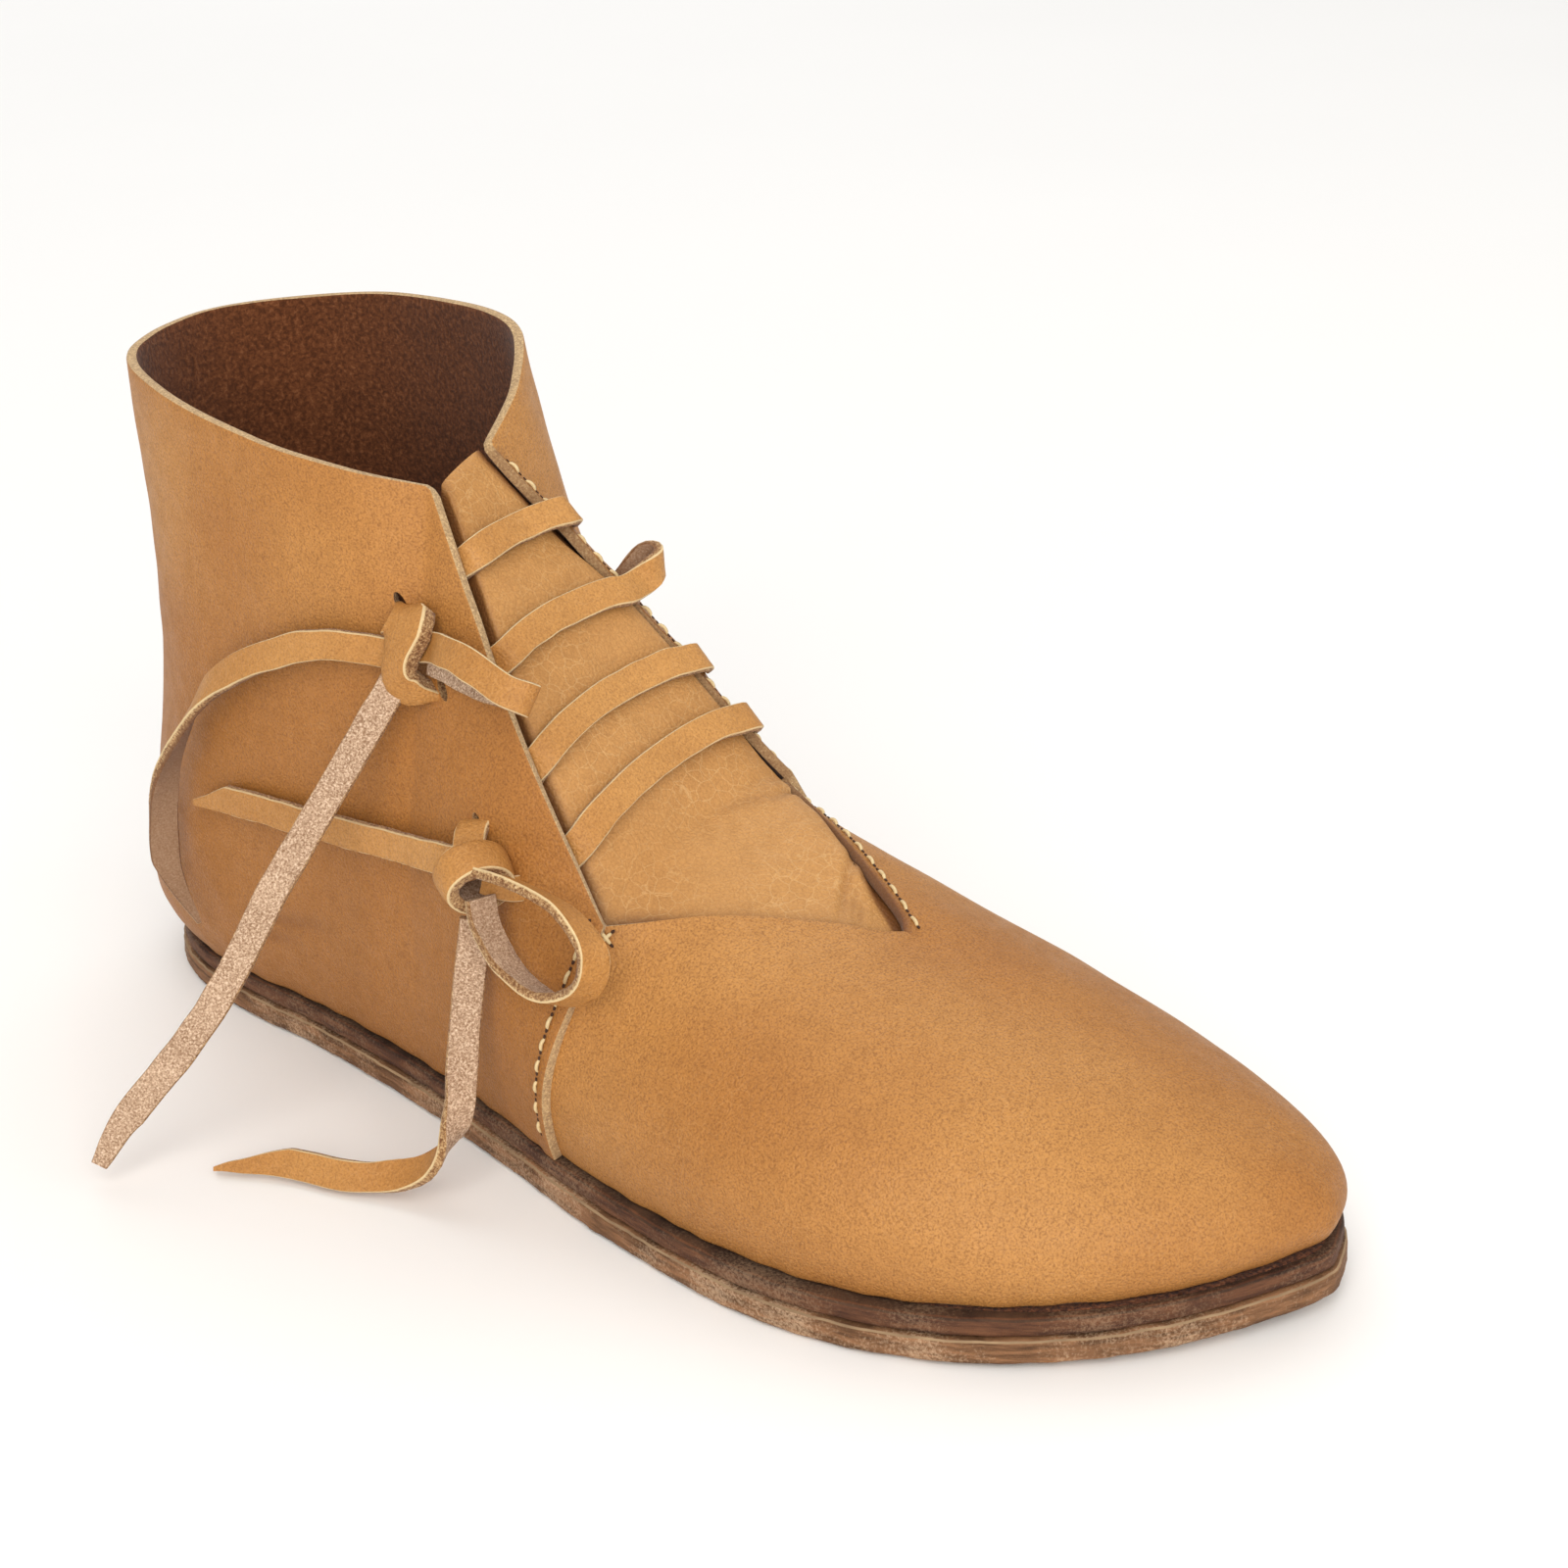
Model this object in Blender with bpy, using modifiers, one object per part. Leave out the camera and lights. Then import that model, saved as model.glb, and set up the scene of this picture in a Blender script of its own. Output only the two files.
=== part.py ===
"""Laced ankle boot of medieval cut for the right foot, in metres with +Z up.

The toe points along -Y, the outer side of the foot along -X, and the sole stands on z = 0.
Sizes are written in millimetres and become metres where a mesh is made.
"""

import math

import bpy
import numpy as np

for old in list(bpy.data.objects):
    bpy.data.objects.remove(old, do_unlink=True)

MM = 0.001

# Sole sizes
SOLE_LENGTH = 287.0
HEEL_Y = SOLE_LENGTH / 2
OUTSOLE_THICK = 5.0
MIDSOLE_THICK = 3.7
INSOLE_THICK = 2.4
LAYER_GAP = 0.3
MIDSOLE_INSET = 0.7
TOE_SPRING = 3.0
SPRING_FROM_Y = -72.0
SOLE_STEPS = 34
SOLE_TOP = OUTSOLE_THICK + LAYER_GAP + MIDSOLE_THICK

# Leather sizes
WALL = 2.2
LAP = 1.5
LAP_FADE = 0.55
SEAT_GAP = 0.5
FEATHER_INSET_HEEL = 2.0
FEATHER_INSET_TOE = 3.6
COLUMN_PITCH = 7.0
RIB_STEPS = 13
SEAM_HALF = 0.02

# Tongue sizes
TONGUE_THICK = 1.8
TONGUE_STEPS = 24
TONGUE_GAP = 0.4
TONGUE_DROP_OUTER = 3.6
TONGUE_UNDER_OUTER = (17.0, 14.0, 11.0, 8.0, 5.0, 2.5, 0.0)
TONGUE_UNDER_INNER = (0.0, 4.0, 8.0)
TONGUE_ARC_STEPS = 9
TONGUE_CROWN = 0.55

# Thong sizes
THONG_WIDE = 6.0
THONG_THICK = 1.9
THONG_GAP = 0.7
SLIT_LONG = 7.6
SLIT_WIDE = 2.8
SLIT_DEEP = 9.0
BAR_STEPS = 11
BAR_LIFT = 0.35
BAR_UNDER = (0.12, 0.3, 0.5, 0.7, 0.88)
BAR_OVER = (0.3, 0.6, 0.85)
THROAT_SHARE = 0.6

# Sole outline: distance from the heel end, and the half widths on the outer and inner side
SOLE_COLUMNS = ("station", "outer", "inner")
SOLE_ROWS = (
    (0.0, 0.0, 0.0),
    (3.0, 16.5, 15.0),
    (10.0, 27.5, 25.0),
    (25.0, 35.5, 31.5),
    (45.0, 38.5, 33.5),
    (70.0, 39.0, 33.0),
    (100.0, 41.5, 31.0),
    (130.0, 46.0, 32.0),
    (160.0, 51.5, 38.0),
    (185.0, 54.5, 44.5),
    (205.0, 55.0, 48.0),
    (225.0, 51.5, 48.5),
    (245.0, 43.0, 45.5),
    (262.0, 30.0, 39.5),
    (274.0, 15.5, 33.0),
    (282.0, 1.0, 25.0),
    (286.0, -8.5, 16.5),
    (287.0, -12.5, 12.5),
)

# Ribs of the upper, round from the heel by the outer side and the toe and back by the inner side.
# side and station: where the rib starts on the sole; top: where it ends on the opening;
# flare, rise: its first handle, out and up; belly: its middle handle, out; lead: its last handle.
OUTER = -1
INNER = 1
RIB_COLUMNS = ("name", "side", "station", "top", "flare", "rise", "belly", "lead")
RIBS = (
    ("heel_back", OUTER, 0.0, (2, 141, 141), 18, 11, -19, (0, -5, -45)),
    ("heel_outer", OUTER, 9.0, (-23, 132, 140), 18, 11, -18, (0, -3, -45)),
    ("quarter_heel", OUTER, 35.0, (-36, 106, 138.5), 13, 16, -7, (-2, 0, -45)),
    ("quarter_mid", OUTER, 68.0, (-39, 75, 135), 8, 22, -1, (-3, 0, -45)),
    ("quarter_front", OUTER, 94.0, (-35, 51, 132), 5, 26, 1, (-5, -1, -42)),
    ("corner_outer", OUTER, 108.0, (-26, 37, 129), 4, 26, 3, (-9, -4, -35)),
    ("edge_outer", OUTER, 130.0, (-34, 11, 93), 4, 22, 3, (-8, -3, -24)),
    ("seam_outer", OUTER, 153.0, (-38, -15.7, 57), 4, 16, 3, (-8, -1, -12)),
    ("vamp_outer", OUTER, 185.0, (-22, -31, 57.5), 5, 17, 3, (-17, -6, -6)),
    ("ball_outer", OUTER, 225.0, (-8, -45, 55), 6, 17, 2, (-26, -20, -6)),
    ("toe_outer", OUTER, 262.0, (-2, -51.5, 53), 9, 14, 0, (-18, -40, -8)),
    ("toe", OUTER, 287.0, (2, -54.5, 52), 13, 12, -1, (3, -46, -11)),
    ("toe_inner", INNER, 262.0, (5, -51, 53.5), 10, 12, -3, (16, -38, -11)),
    ("ball_inner", INNER, 225.0, (9, -42, 56.5), 5, 14, -2, (22, -20, -11)),
    ("vamp_inner", INNER, 185.0, (15, -27, 60.5), 4, 17, 2, (16, -8, -11)),
    ("seam_inner", INNER, 152.0, (21, -9, 63.5), 4, 16, 3, (9, -1, -14)),
    ("edge_inner", INNER, 128.0, (9, 14, 96), 3, 22, 7, (18, -2, -18)),
    ("corner_inner", INNER, 106.0, (-7, 40, 132), 3, 26, 9, (24, -3, -26)),
    ("collar_front", INNER, 87.0, (11, 49, 140), 4, 26, 6, (14, -3, -38)),
    ("collar_inner", INNER, 64.0, (28, 70, 145), 8, 22, 1, (5, 0, -45)),
    ("collar_heel", INNER, 35.0, (32, 106, 144), 13, 16, -7, (2, 0, -45)),
    ("heel_inner", INNER, 9.0, (23, 132, 141.5), 18, 11, -18, (0, -3, -45)),
)
RIB_COUNT = len(RIBS)
RIB_NUMBER = {row[0]: number for number, row in enumerate(RIBS)}
CORNERS = ("corner_outer", "seam_outer", "toe", "seam_inner", "corner_inner")
SEAM_OUTER = RIB_NUMBER["seam_outer"]
SEAM_INNER = RIB_NUMBER["seam_inner"]
TOE_RIB = RIB_NUMBER["toe"]

# Lace bars: how far down each front edge of the throat the bar crosses it, from 0 at the collar
# to 1 at the seam, and the place along the foot and the height of the slit on each side
BAR_COLUMNS = ("name", "outer_share", "inner_share", "outer_y", "outer_z", "inner_y", "inner_z")
BARS = (
    ("lace_bar_1", 0.17, 0.21, 39.4, 107.8, 35.0, 114.0),
    ("lace_bar_2", 0.40, 0.43, 28.9, 90.1, 25.0, 98.0),
    ("lace_bar_3", 0.63, 0.64, 13.1, 70.6, 15.0, 83.0),
    ("lace_bar_4", 0.83, 0.83, 1.4, 61.5, 6.0, 70.5),
)

# Knots: a turn of thong round an axis, with its radius along the quarter and out from it
KNOT_COLUMNS = ("name", "centre", "axis", "along", "out", "from_deg", "to_deg")
KNOT_OUTWARD = (-0.965, 0.0, 0.26)
KNOTS = (
    ("upper_knot", (-35.8, 34.1, 99.2), (0.074, -0.855, 0.498), 10.6, 8.0, 14, 166),
    ("lower_knot", (-49.3, 6.3, 65.4), (-0.372, -0.85, -0.372), 6.2, 6.2, -55, 235),
)
KNOT_STEPS = 20

# Loops and ends of the thongs: points along the middle, each with the direction across the strip
ROUTE_COLUMNS = ("x", "y", "z", "across_x", "across_y", "across_z")
ROUTES = {
    "upper_loop": (
        (-40.7, 32.0, 101.6, 0.2, 0.5, 0.85),
        (-41.5, 21.5, 104.3, 0.2, 0.1, 1.0),
        (-42.5, 12.0, 104.3, 0.2, 0.2, 1.0),
        (-42.6, 3.0, 102.3, 0.2, 0.3, 1.0),
        (-41.6, -3.4, 99.8, 0.2, 0.4, 1.0),
        (-38.8, -4.2, 97.4, 0.2, 0.4, 1.0),
        (-37.4, 3.0, 95.6, 0.2, 0.3, 1.0),
        (-37.8, 13.0, 95.4, 0.2, 0.1, 1.0),
        (-37.8, 22.0, 96.6, 0.2, 0.1, 1.0),
        (-37.7, 29.3, 97.7, 0.2, 0.2, 1.0),
    ),
    "lower_loop": (
        (-51.0, 1.7, 67.0, 0.8, -0.2, -0.5),
        (-50.6, -6.5, 67.0, 0.8, -0.2, -0.5),
        (-49.8, -15.5, 64.0, 0.8, -0.25, -0.5),
        (-49.6, -21.0, 58.5, 0.8, -0.25, -0.4),
        (-50.4, -20.0, 51.5, 0.8, -0.25, -0.4),
        (-51.4, -13.0, 47.3, 0.8, -0.25, -0.4),
        (-52.0, -4.5, 50.0, 0.8, -0.25, -0.4),
        (-52.2, 0.5, 56.5, 0.8, -0.25, -0.4),
        (-51.6, 1.9, 61.0, 0.8, -0.25, -0.4),
    ),
    "upper_end_back": (
        (-40.0, 38.5, 99.0, 0.1, 0.2, 1.0),
        (-43.2, 53.0, 98.5, 0.1, 0.1, 1.0),
        (-45.6, 69.0, 92.5, 0.25, 0.2, 0.95),
        (-47.0, 82.0, 85.0, 0.5, 0.3, 0.8),
        (-47.5, 90.5, 76.8, 0.8, 0.3, 0.5),
        (-46.8, 102.5, 61.5, 0.9, -0.1, 0.3),
        (-46.5, 107.5, 47.5, 0.85, -0.5, 0.1),
        (-47.5, 107.0, 35.0, 0.85, -0.5, 0.0),
        (-49.0, 100.5, 24.5, 0.85, -0.45, 0.0),
    ),
    "upper_end_down": (
        (-42.2, 36.5, 93.2, 0.385, -0.77, -0.505),
        (-55.0, 40.9, 73.2, 0.385, -0.77, -0.505),
        (-65.5, 45.1, 58.2, 0.385, -0.77, -0.505),
        (-75.4, 48.2, 43.1, 0.385, -0.77, -0.505),
        (-82.0, 51.2, 33.4, 0.4, -0.76, -0.5),
        (-89.5, 56.7, 22.4, 0.4, -0.75, -0.45),
        (-95.5, 61.8, 13.2, 0.4, -0.75, -0.45),
        (-100.4, 63.6, 4.4, 0.45, -0.75, -0.4),
    ),
    "lower_end_back": (
        (-48.0, 10.4, 66.2, 0.2, -0.1, 1.0),
        (-46.6, 19.0, 64.0, 0.2, -0.1, 1.0),
        (-44.4, 36.2, 61.1, 0.1, 0.0, 1.0),
        (-45.0, 56.1, 59.5, 0.1, 0.0, 1.0),
        (-45.4, 77.4, 58.0, 0.1, 0.0, 1.0),
        (-45.2, 97.0, 56.1, 0.0, 0.0, 1.0),
    ),
    "lower_end_down": (
        (-50.6, 5.6, 56.9, 0.59, -0.70, -0.13),
        (-51.5, 5.9, 52.0, 0.59, -0.70, -0.13),
        (-53.0, 7.2, 40.4, 0.62, -0.66, -0.15),
        (-56.0, 6.7, 29.0, 0.65, -0.60, -0.20),
        (-60.0, 4.4, 20.2, 0.80, -0.30, -0.10),
        (-63.4, 5.8, 12.5, 0.85, 0.30, 0.25),
        (-65.7, 10.2, 7.5, 0.70, 0.40, 0.50),
        (-68.5, 17.4, 4.6, 0.50, 0.30, 0.80),
        (-72.4, 25.1, 3.8, 0.37, 0.16, 0.86),
        (-76.1, 37.2, 3.7, 0.37, 0.16, 0.86),
        (-81.4, 47.8, 3.7, 0.37, 0.16, 0.86),
        (-83.6, 51.2, 3.7, 0.37, 0.16, 0.86),
    ),
}
ROUTE_PITCH = 4.5


def unit(vectors):
    """Each vector with length one."""
    size = np.linalg.norm(vectors, axis=-1, keepdims=True)
    return vectors / np.maximum(size, 1e-9)


def spline(values, at):
    """Smooth open curve through rows of values; at runs from 0 to the last row's number."""
    values = np.asarray(values, float)
    last = len(values) - 1
    at = np.clip(np.asarray(at, float), 0, last)
    start = np.minimum(at.astype(int), last - 1)
    share = (at - start).reshape(at.shape + (1,) * (values.ndim - 1))
    padded = np.concatenate([
        2 * values[:1] - values[1:2],
        values,
        2 * values[-1:] - values[-2:-1],
    ])
    before, left, right, after = (padded[start + k] for k in range(4))
    curve = 2 * left + (right - before) * share
    curve = curve + (2 * before - 5 * left + 4 * right - after) * share ** 2
    return 0.5 * (curve + (3 * left - before - 3 * right + after) * share ** 3)


def looped(values, at):
    """Smooth closed curve through rows of values; at wraps round after the last row."""
    values = np.asarray(values, float)
    count = len(values)
    wrapped = np.concatenate([values[-3:], values, values[:3]])
    return spline(wrapped, np.mod(at, count) + 3)


def cornered(values, corners, at):
    """Closed curve through rows of values that is smooth between the numbered corner rows."""
    values = np.asarray(values, float)
    count = len(values)
    at = np.mod(np.asarray(at, float), count)
    result = np.zeros(at.shape + values.shape[1:])
    for number, first in enumerate(corners):
        last = corners[(number + 1) % len(corners)]
        span = (last - first) % count
        ahead = np.mod(at - first, count)
        inside = ahead <= span
        rows = values[[(first + k) % count for k in range(span + 1)]]
        result[inside] = spline(rows, ahead[inside])
    return result


def spring(y):
    """Lift of the sole at a place along the foot."""
    share = np.clip((SPRING_FROM_Y - np.asarray(y, float)) / (HEEL_Y + SPRING_FROM_Y), 0, 1)
    return TOE_SPRING * share ** 2


def side_line(side):
    """Fine points along one side of the sole's outline, from heel to toe."""
    rows = np.array(SOLE_ROWS)
    half = rows[:, 1] if side == OUTER else rows[:, 2]
    points = np.stack([side * half, HEEL_Y - rows[:, 0]], axis=1)
    return spline(points, np.linspace(0, len(rows) - 1, 600))


def along(line):
    """Distance travelled to each point of a line."""
    steps = np.linalg.norm(np.diff(line, axis=0), axis=1)
    return np.concatenate([[0.0], np.cumsum(steps)])


OUTLINE = np.concatenate([side_line(OUTER), side_line(INNER)[::-1][1:-1]])
OUTLINE_TRAVEL = along(np.concatenate([OUTLINE, OUTLINE[:1]]))
OUTLINE_ROUND = OUTLINE_TRAVEL[-1]


def outline_at(travel):
    """Point of the sole's outline and its outward direction, by distance round it from the heel."""
    closed = np.concatenate([OUTLINE, OUTLINE[:1]])

    def place(distance):
        distance = np.mod(distance, OUTLINE_ROUND)
        return np.stack([np.interp(distance, OUTLINE_TRAVEL, closed[:, k]) for k in range(2)], axis=-1)

    tangent = unit(place(np.asarray(travel) + 3.0) - place(np.asarray(travel) - 3.0))
    outward = np.stack([tangent[..., 1], -tangent[..., 0]], axis=-1)
    return place(travel), outward


def rib_travel(side, station):
    """Distance round the outline at which a side reaches a station."""
    line = side_line(side)
    distance = along(line)
    reach = np.interp(station, HEEL_Y - line[:, 1], distance)
    return reach if side == OUTER else OUTLINE_ROUND - reach


RIB_TRAVEL = np.array([rib_travel(row[1], row[2]) for row in RIBS] + [OUTLINE_ROUND])
RIB_TOP = np.array([row[3] for row in RIBS], float)
RIB_HANDLES = np.array([(row[4], row[5], row[6], *row[7]) for row in RIBS], float)
CORNER_NUMBERS = [RIB_NUMBER[name] for name in CORNERS]


def outer_face(rib, share):
    """Outer face of the upper; rib counts round the boot, share runs from the sole to the opening.

    Each rib is a curve of five handles: the sole edge, out and up from it, the belly,
    back along the lead, and the opening.
    """
    rib, share = np.broadcast_arrays(np.asarray(rib, float), np.asarray(share, float))
    number = np.mod(rib, RIB_COUNT)
    travel = np.interp(number, np.arange(RIB_COUNT + 1), RIB_TRAVEL)
    edge, outward = outline_at(travel)
    forward = np.clip((40.0 - edge[..., 1]) / 120.0, 0, 1)[..., None]
    inset = FEATHER_INSET_HEEL + (FEATHER_INSET_TOE - FEATHER_INSET_HEEL) * forward
    foot = edge - outward * inset
    base = SOLE_TOP + SEAT_GAP + spring(foot[..., 1])
    first = np.concatenate([foot, base[..., None]], axis=-1)
    out = np.concatenate([outward, np.zeros(outward.shape[:-1] + (1,))], axis=-1)
    handles = looped(RIB_HANDLES, number)
    up = np.array([0.0, 0.0, 1.0])
    second = first + out * handles[..., 0:1] + up * handles[..., 1:2]
    last = cornered(RIB_TOP, CORNER_NUMBERS, number)
    fourth = last + handles[..., 3:6]
    third = (second + fourth) / 2 + out * handles[..., 2:3]
    s = share[..., None]
    t = 1 - s
    point = first * t ** 4 + 4 * second * t ** 3 * s + 6 * third * t ** 2 * s ** 2
    return point + 4 * fourth * t * s ** 3 + last * s ** 4


def face_normal(rib, share):
    """Outward direction of the upper's face."""
    rib, share = np.broadcast_arrays(np.asarray(rib, float), np.asarray(share, float))
    low = np.clip(share, 0.02, 0.98)
    across = outer_face(rib + 0.04, low) - outer_face(rib - 0.04, low)
    upward = outer_face(rib, low + 0.02) - outer_face(rib, low - 0.02)
    return unit(np.cross(across, upward))


def share_below(rib, distance):
    """Share along a rib at a distance below the opening."""
    grid = np.linspace(0, 1, 120)
    line = outer_face(np.full_like(grid, rib), grid)
    travel = along(line)
    return float(np.interp(travel[-1] - distance, travel, grid))


def quarter_at(side, y, z):
    """Rib and share of the quarter at a place along the foot and a height."""
    middle = RIB_NUMBER["corner_outer"] if side == OUTER else RIB_NUMBER["corner_inner"]
    ribs, shares = np.meshgrid(np.linspace(middle - 3, middle + 3, 80), np.linspace(0.2, 1, 60))
    found = outer_face(ribs, shares)
    best = np.argmin((found[..., 1] - y) ** 2 + (found[..., 2] - z) ** 2)
    place = np.array([ribs.flat[best], shares.flat[best]])
    for _ in range(5):
        here = outer_face(*place)[1:]
        by_rib = (outer_face(place[0] + 0.01, place[1])[1:] - here) / 0.01
        by_share = (outer_face(place[0], place[1] - 0.01)[1:] - here) / -0.01
        step = np.linalg.solve(np.stack([by_rib, by_share], axis=1), np.array([y, z]) - here)
        place = place + np.clip(step, -0.2, 0.2)
        place[1] = min(place[1], 1.0)
    return float(place[0]), float(place[1])


def lap_at(rib):
    """Extra thickness of the quarters, most at the side seams and fading behind them."""
    rib = np.mod(rib, RIB_COUNT)
    behind_outer = SEAM_OUTER - rib
    behind_inner = rib - SEAM_INNER
    outer = np.where(behind_outer > 0, np.exp(-np.maximum(behind_outer, 0) / LAP_FADE), 0)
    inner = np.where(behind_inner > 0, np.exp(-np.maximum(behind_inner, 0) / LAP_FADE), 0)
    return LAP * np.maximum(outer, inner)


def rib_columns():
    """Rib places of the grid: every named rib, steps between, and a close pair at each side seam."""
    places = []
    for number in range(RIB_COUNT):
        span = RIB_TRAVEL[number + 1] - RIB_TRAVEL[number]
        count = max(2, round(span / COLUMN_PITCH))
        steps = [number + k / count for k in range(count)]
        if number in (SEAM_OUTER, SEAM_INNER):
            steps = [number - SEAM_HALF, number + SEAM_HALF] + steps[1:]
        places.extend(steps)
    return np.array(places)


# Making objects
PARTS = bpy.data.collections.new("medieval_boot")
CUTTERS = bpy.data.collections.new("cutters")
for collection in (PARTS, CUTTERS):
    bpy.context.scene.collection.children.link(collection)


def leather(name, colour, roughness):
    """Material of one part."""
    material = bpy.data.materials.new(name)
    material.use_nodes = True
    shader = material.node_tree.nodes["Principled BSDF"]
    shader.inputs["Base Color"].default_value = (*colour, 1.0)
    shader.inputs["Roughness"].default_value = roughness
    return material


def add_mesh(name, points, faces, collection, material=None):
    """Object from points in millimetres and faces."""
    mesh = bpy.data.meshes.new(name)
    mesh.from_pydata((np.asarray(points, float) * MM).tolist(), [], [tuple(f) for f in faces])
    mesh.validate()
    mesh.update()
    part = bpy.data.objects.new(name, mesh)
    collection.objects.link(part)
    if material is not None:
        mesh.materials.append(material)
    return part


def grid_faces(rows, columns, closed=False):
    """Four-cornered faces of a grid of points, row by row."""
    faces = []
    wide = columns if closed else columns - 1
    for row in range(rows - 1):
        for column in range(wide):
            beside = (column + 1) % columns
            a = row * columns + column
            b = row * columns + beside
            faces.append((a, b, b + columns, a + columns))
    return faces


def thicken(part, thickness, offset, group=None):
    """Wall on an open surface; offset 1 grows along its outward side, -1 against it."""
    wall = part.modifiers.new("wall", "SOLIDIFY")
    wall.thickness = thickness * MM
    wall.offset = offset
    wall.use_quality_normals = True
    wall.use_rim = True
    if group:
        wall.vertex_group = group
    return wall


def sole_layer(name, inset, bottom, top, colour, round_edge):
    """Flat layer of the sole with the boot's outline, lifted at the toe."""
    rim = []
    for side in (OUTER, INNER):
        heel = 0.0 if side == OUTER else OUTLINE_ROUND
        distance = np.linspace(heel, rib_travel(side, SOLE_LENGTH), SOLE_STEPS + 1)
        line, outward = outline_at(distance)
        rim.append(line - outward * inset)
    outer, inner = rim
    plan = np.concatenate([outer, inner[1:-1]])
    count = len(plan)
    lift = spring(plan[:, 1])
    low = np.column_stack([plan, bottom + lift])
    high = np.column_stack([plan, top + lift])
    outer_at = list(range(SOLE_STEPS + 1))
    inner_at = [0] + list(range(SOLE_STEPS + 1, count)) + [SOLE_STEPS]
    faces = []
    for k in range(SOLE_STEPS):
        ring = [outer_at[k], outer_at[k + 1], inner_at[k + 1], inner_at[k]]
        ring = [v for i, v in enumerate(ring) if v not in ring[:i]]
        faces.append(ring[::-1])
        faces.append([v + count for v in ring])
        a, b = outer_at[k], outer_at[k + 1]
        faces.append((a, b, b + count, a + count))
        a, b = inner_at[k + 1], inner_at[k]
        faces.append((a, b, b + count, a + count))
    part = add_mesh(name, np.concatenate([low, high]), faces, PARTS, leather(name, colour, 0.7))
    if round_edge:
        bevel = part.modifiers.new("edge", "BEVEL")
        bevel.width = round_edge * MM
        bevel.segments = 2
        bevel.limit_method = "ANGLE"
        bevel.angle_limit = math.radians(50)
    return part


def build_soles():
    """Outsole on the floor, midsole on it, and the insole inside the upper."""
    sole_layer("outsole", 0.0, 0.0, OUTSOLE_THICK, (0.07, 0.045, 0.03), 0.9)
    low = OUTSOLE_THICK + LAYER_GAP
    sole_layer("midsole", MIDSOLE_INSET, low, SOLE_TOP, (0.09, 0.055, 0.035), 0.7)
    inset = FEATHER_INSET_TOE + WALL + LAYER_GAP + 1.2
    low = SOLE_TOP + LAYER_GAP
    sole_layer("insole", inset, low, low + INSOLE_THICK, (0.20, 0.12, 0.07), 0.0)


def build_upper():
    """Vamp and quarters as one hollow wall, with a step at each side seam and eight lace slits."""
    columns = rib_columns()
    shares = np.linspace(0, 1, RIB_STEPS)
    rib, share = np.meshgrid(columns, shares)
    inside = outer_face(rib, share) - WALL * face_normal(rib, share)
    points = inside.reshape(-1, 3)
    faces = grid_faces(RIB_STEPS, len(columns), closed=True)
    part = add_mesh("upper", points, faces, PARTS, leather("upper", (0.50, 0.25, 0.10), 0.5))
    most = WALL + LAP
    weight = (WALL + lap_at(rib.reshape(-1))) / most
    group = part.vertex_groups.new(name="wall")
    for number, value in enumerate(weight.tolist()):
        group.add([number], value, "REPLACE")
    thicken(part, most, 1, "wall")
    cutter = build_slits()
    cut = part.modifiers.new("slits", "BOOLEAN")
    cut.operation = "DIFFERENCE"
    cut.solver = "EXACT"
    cut.object = cutter
    return part


def edge_rib(side, share_down):
    """Rib that meets a front edge of the throat, from 0 at the collar corner to 1 at the seam."""
    if side == OUTER:
        return RIB_NUMBER["corner_outer"] + 2 * share_down
    return RIB_NUMBER["corner_inner"] - 2 * share_down


def rib_beside(rib):
    """Rib halfway down the front edge of the throat on the same side."""
    return edge_rib(OUTER if rib < TOE_RIB else INNER, 0.5)


def slit_places():
    """Rib and share of each lace slit."""
    places = []
    for _, _, _, outer_y, outer_z, inner_y, inner_z in BARS:
        places.append(quarter_at(OUTER, outer_y, outer_z))
        places.append(quarter_at(INNER, inner_y, inner_z))
    return places


def build_slits():
    """One cutter made of a flat block at each lace slit, its length along the front edge."""
    points = []
    faces = []
    for rib, share in slit_places():
        centre = outer_face(rib, share)
        normal = face_normal(rib, share)
        edge = outer_face(rib_beside(rib), 1.0) - outer_face(rib_beside(rib) - 0.1, 1.0)
        length = unit(edge - normal * np.dot(edge, normal))
        width = np.cross(normal, length)
        start = len(points)
        for n in (-1, 1):
            for a, b in ((-1, -1), (1, -1), (1, 1), (-1, 1)):
                corner = centre + a * length * SLIT_LONG / 2 + b * width * SLIT_WIDE / 2
                points.append(corner + n * normal * SLIT_DEEP / 2)
        faces.append((start + 3, start + 2, start + 1, start))
        faces.append((start + 4, start + 5, start + 6, start + 7))
        for k in range(4):
            m = (k + 1) % 4
            faces.append((start + k, start + m, start + 4 + m, start + 4 + k))
    cutter = add_mesh("slit_cutters", points, faces, CUTTERS)
    cutter.hide_render = True
    cutter.display_type = "WIRE"
    return cutter


def throat_arc(place, across):
    """Point of the tongue's upper face in the throat; across runs from the outer to the inner edge.

    It is an arch from edge to edge that leaves both edges along the quarters.
    """
    rib_outer, rib_inner = throat_ribs(place)
    drop_outer, drop_inner = tongue_drop(place)
    start = outer_face(rib_outer, 1.0) - drop_outer * face_normal(rib_outer, 1.0)
    end = outer_face(rib_inner, 1.0) - drop_inner * face_normal(rib_inner, 1.0)
    leave = unit(outer_face(rib_outer, 1.0) - outer_face(rib_outer, 0.96))
    arrive = unit(outer_face(rib_inner, 0.96) - outer_face(rib_inner, 1.0))
    reach = TONGUE_CROWN * np.linalg.norm(end - start)
    s = across
    return (
        start * (2 * s ** 3 - 3 * s ** 2 + 1)
        + leave * reach * (s ** 3 - 2 * s ** 2 + s)
        + end * (3 * s ** 2 - 2 * s ** 3)
        + arrive * reach * (s ** 3 - s ** 2)
    )


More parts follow.
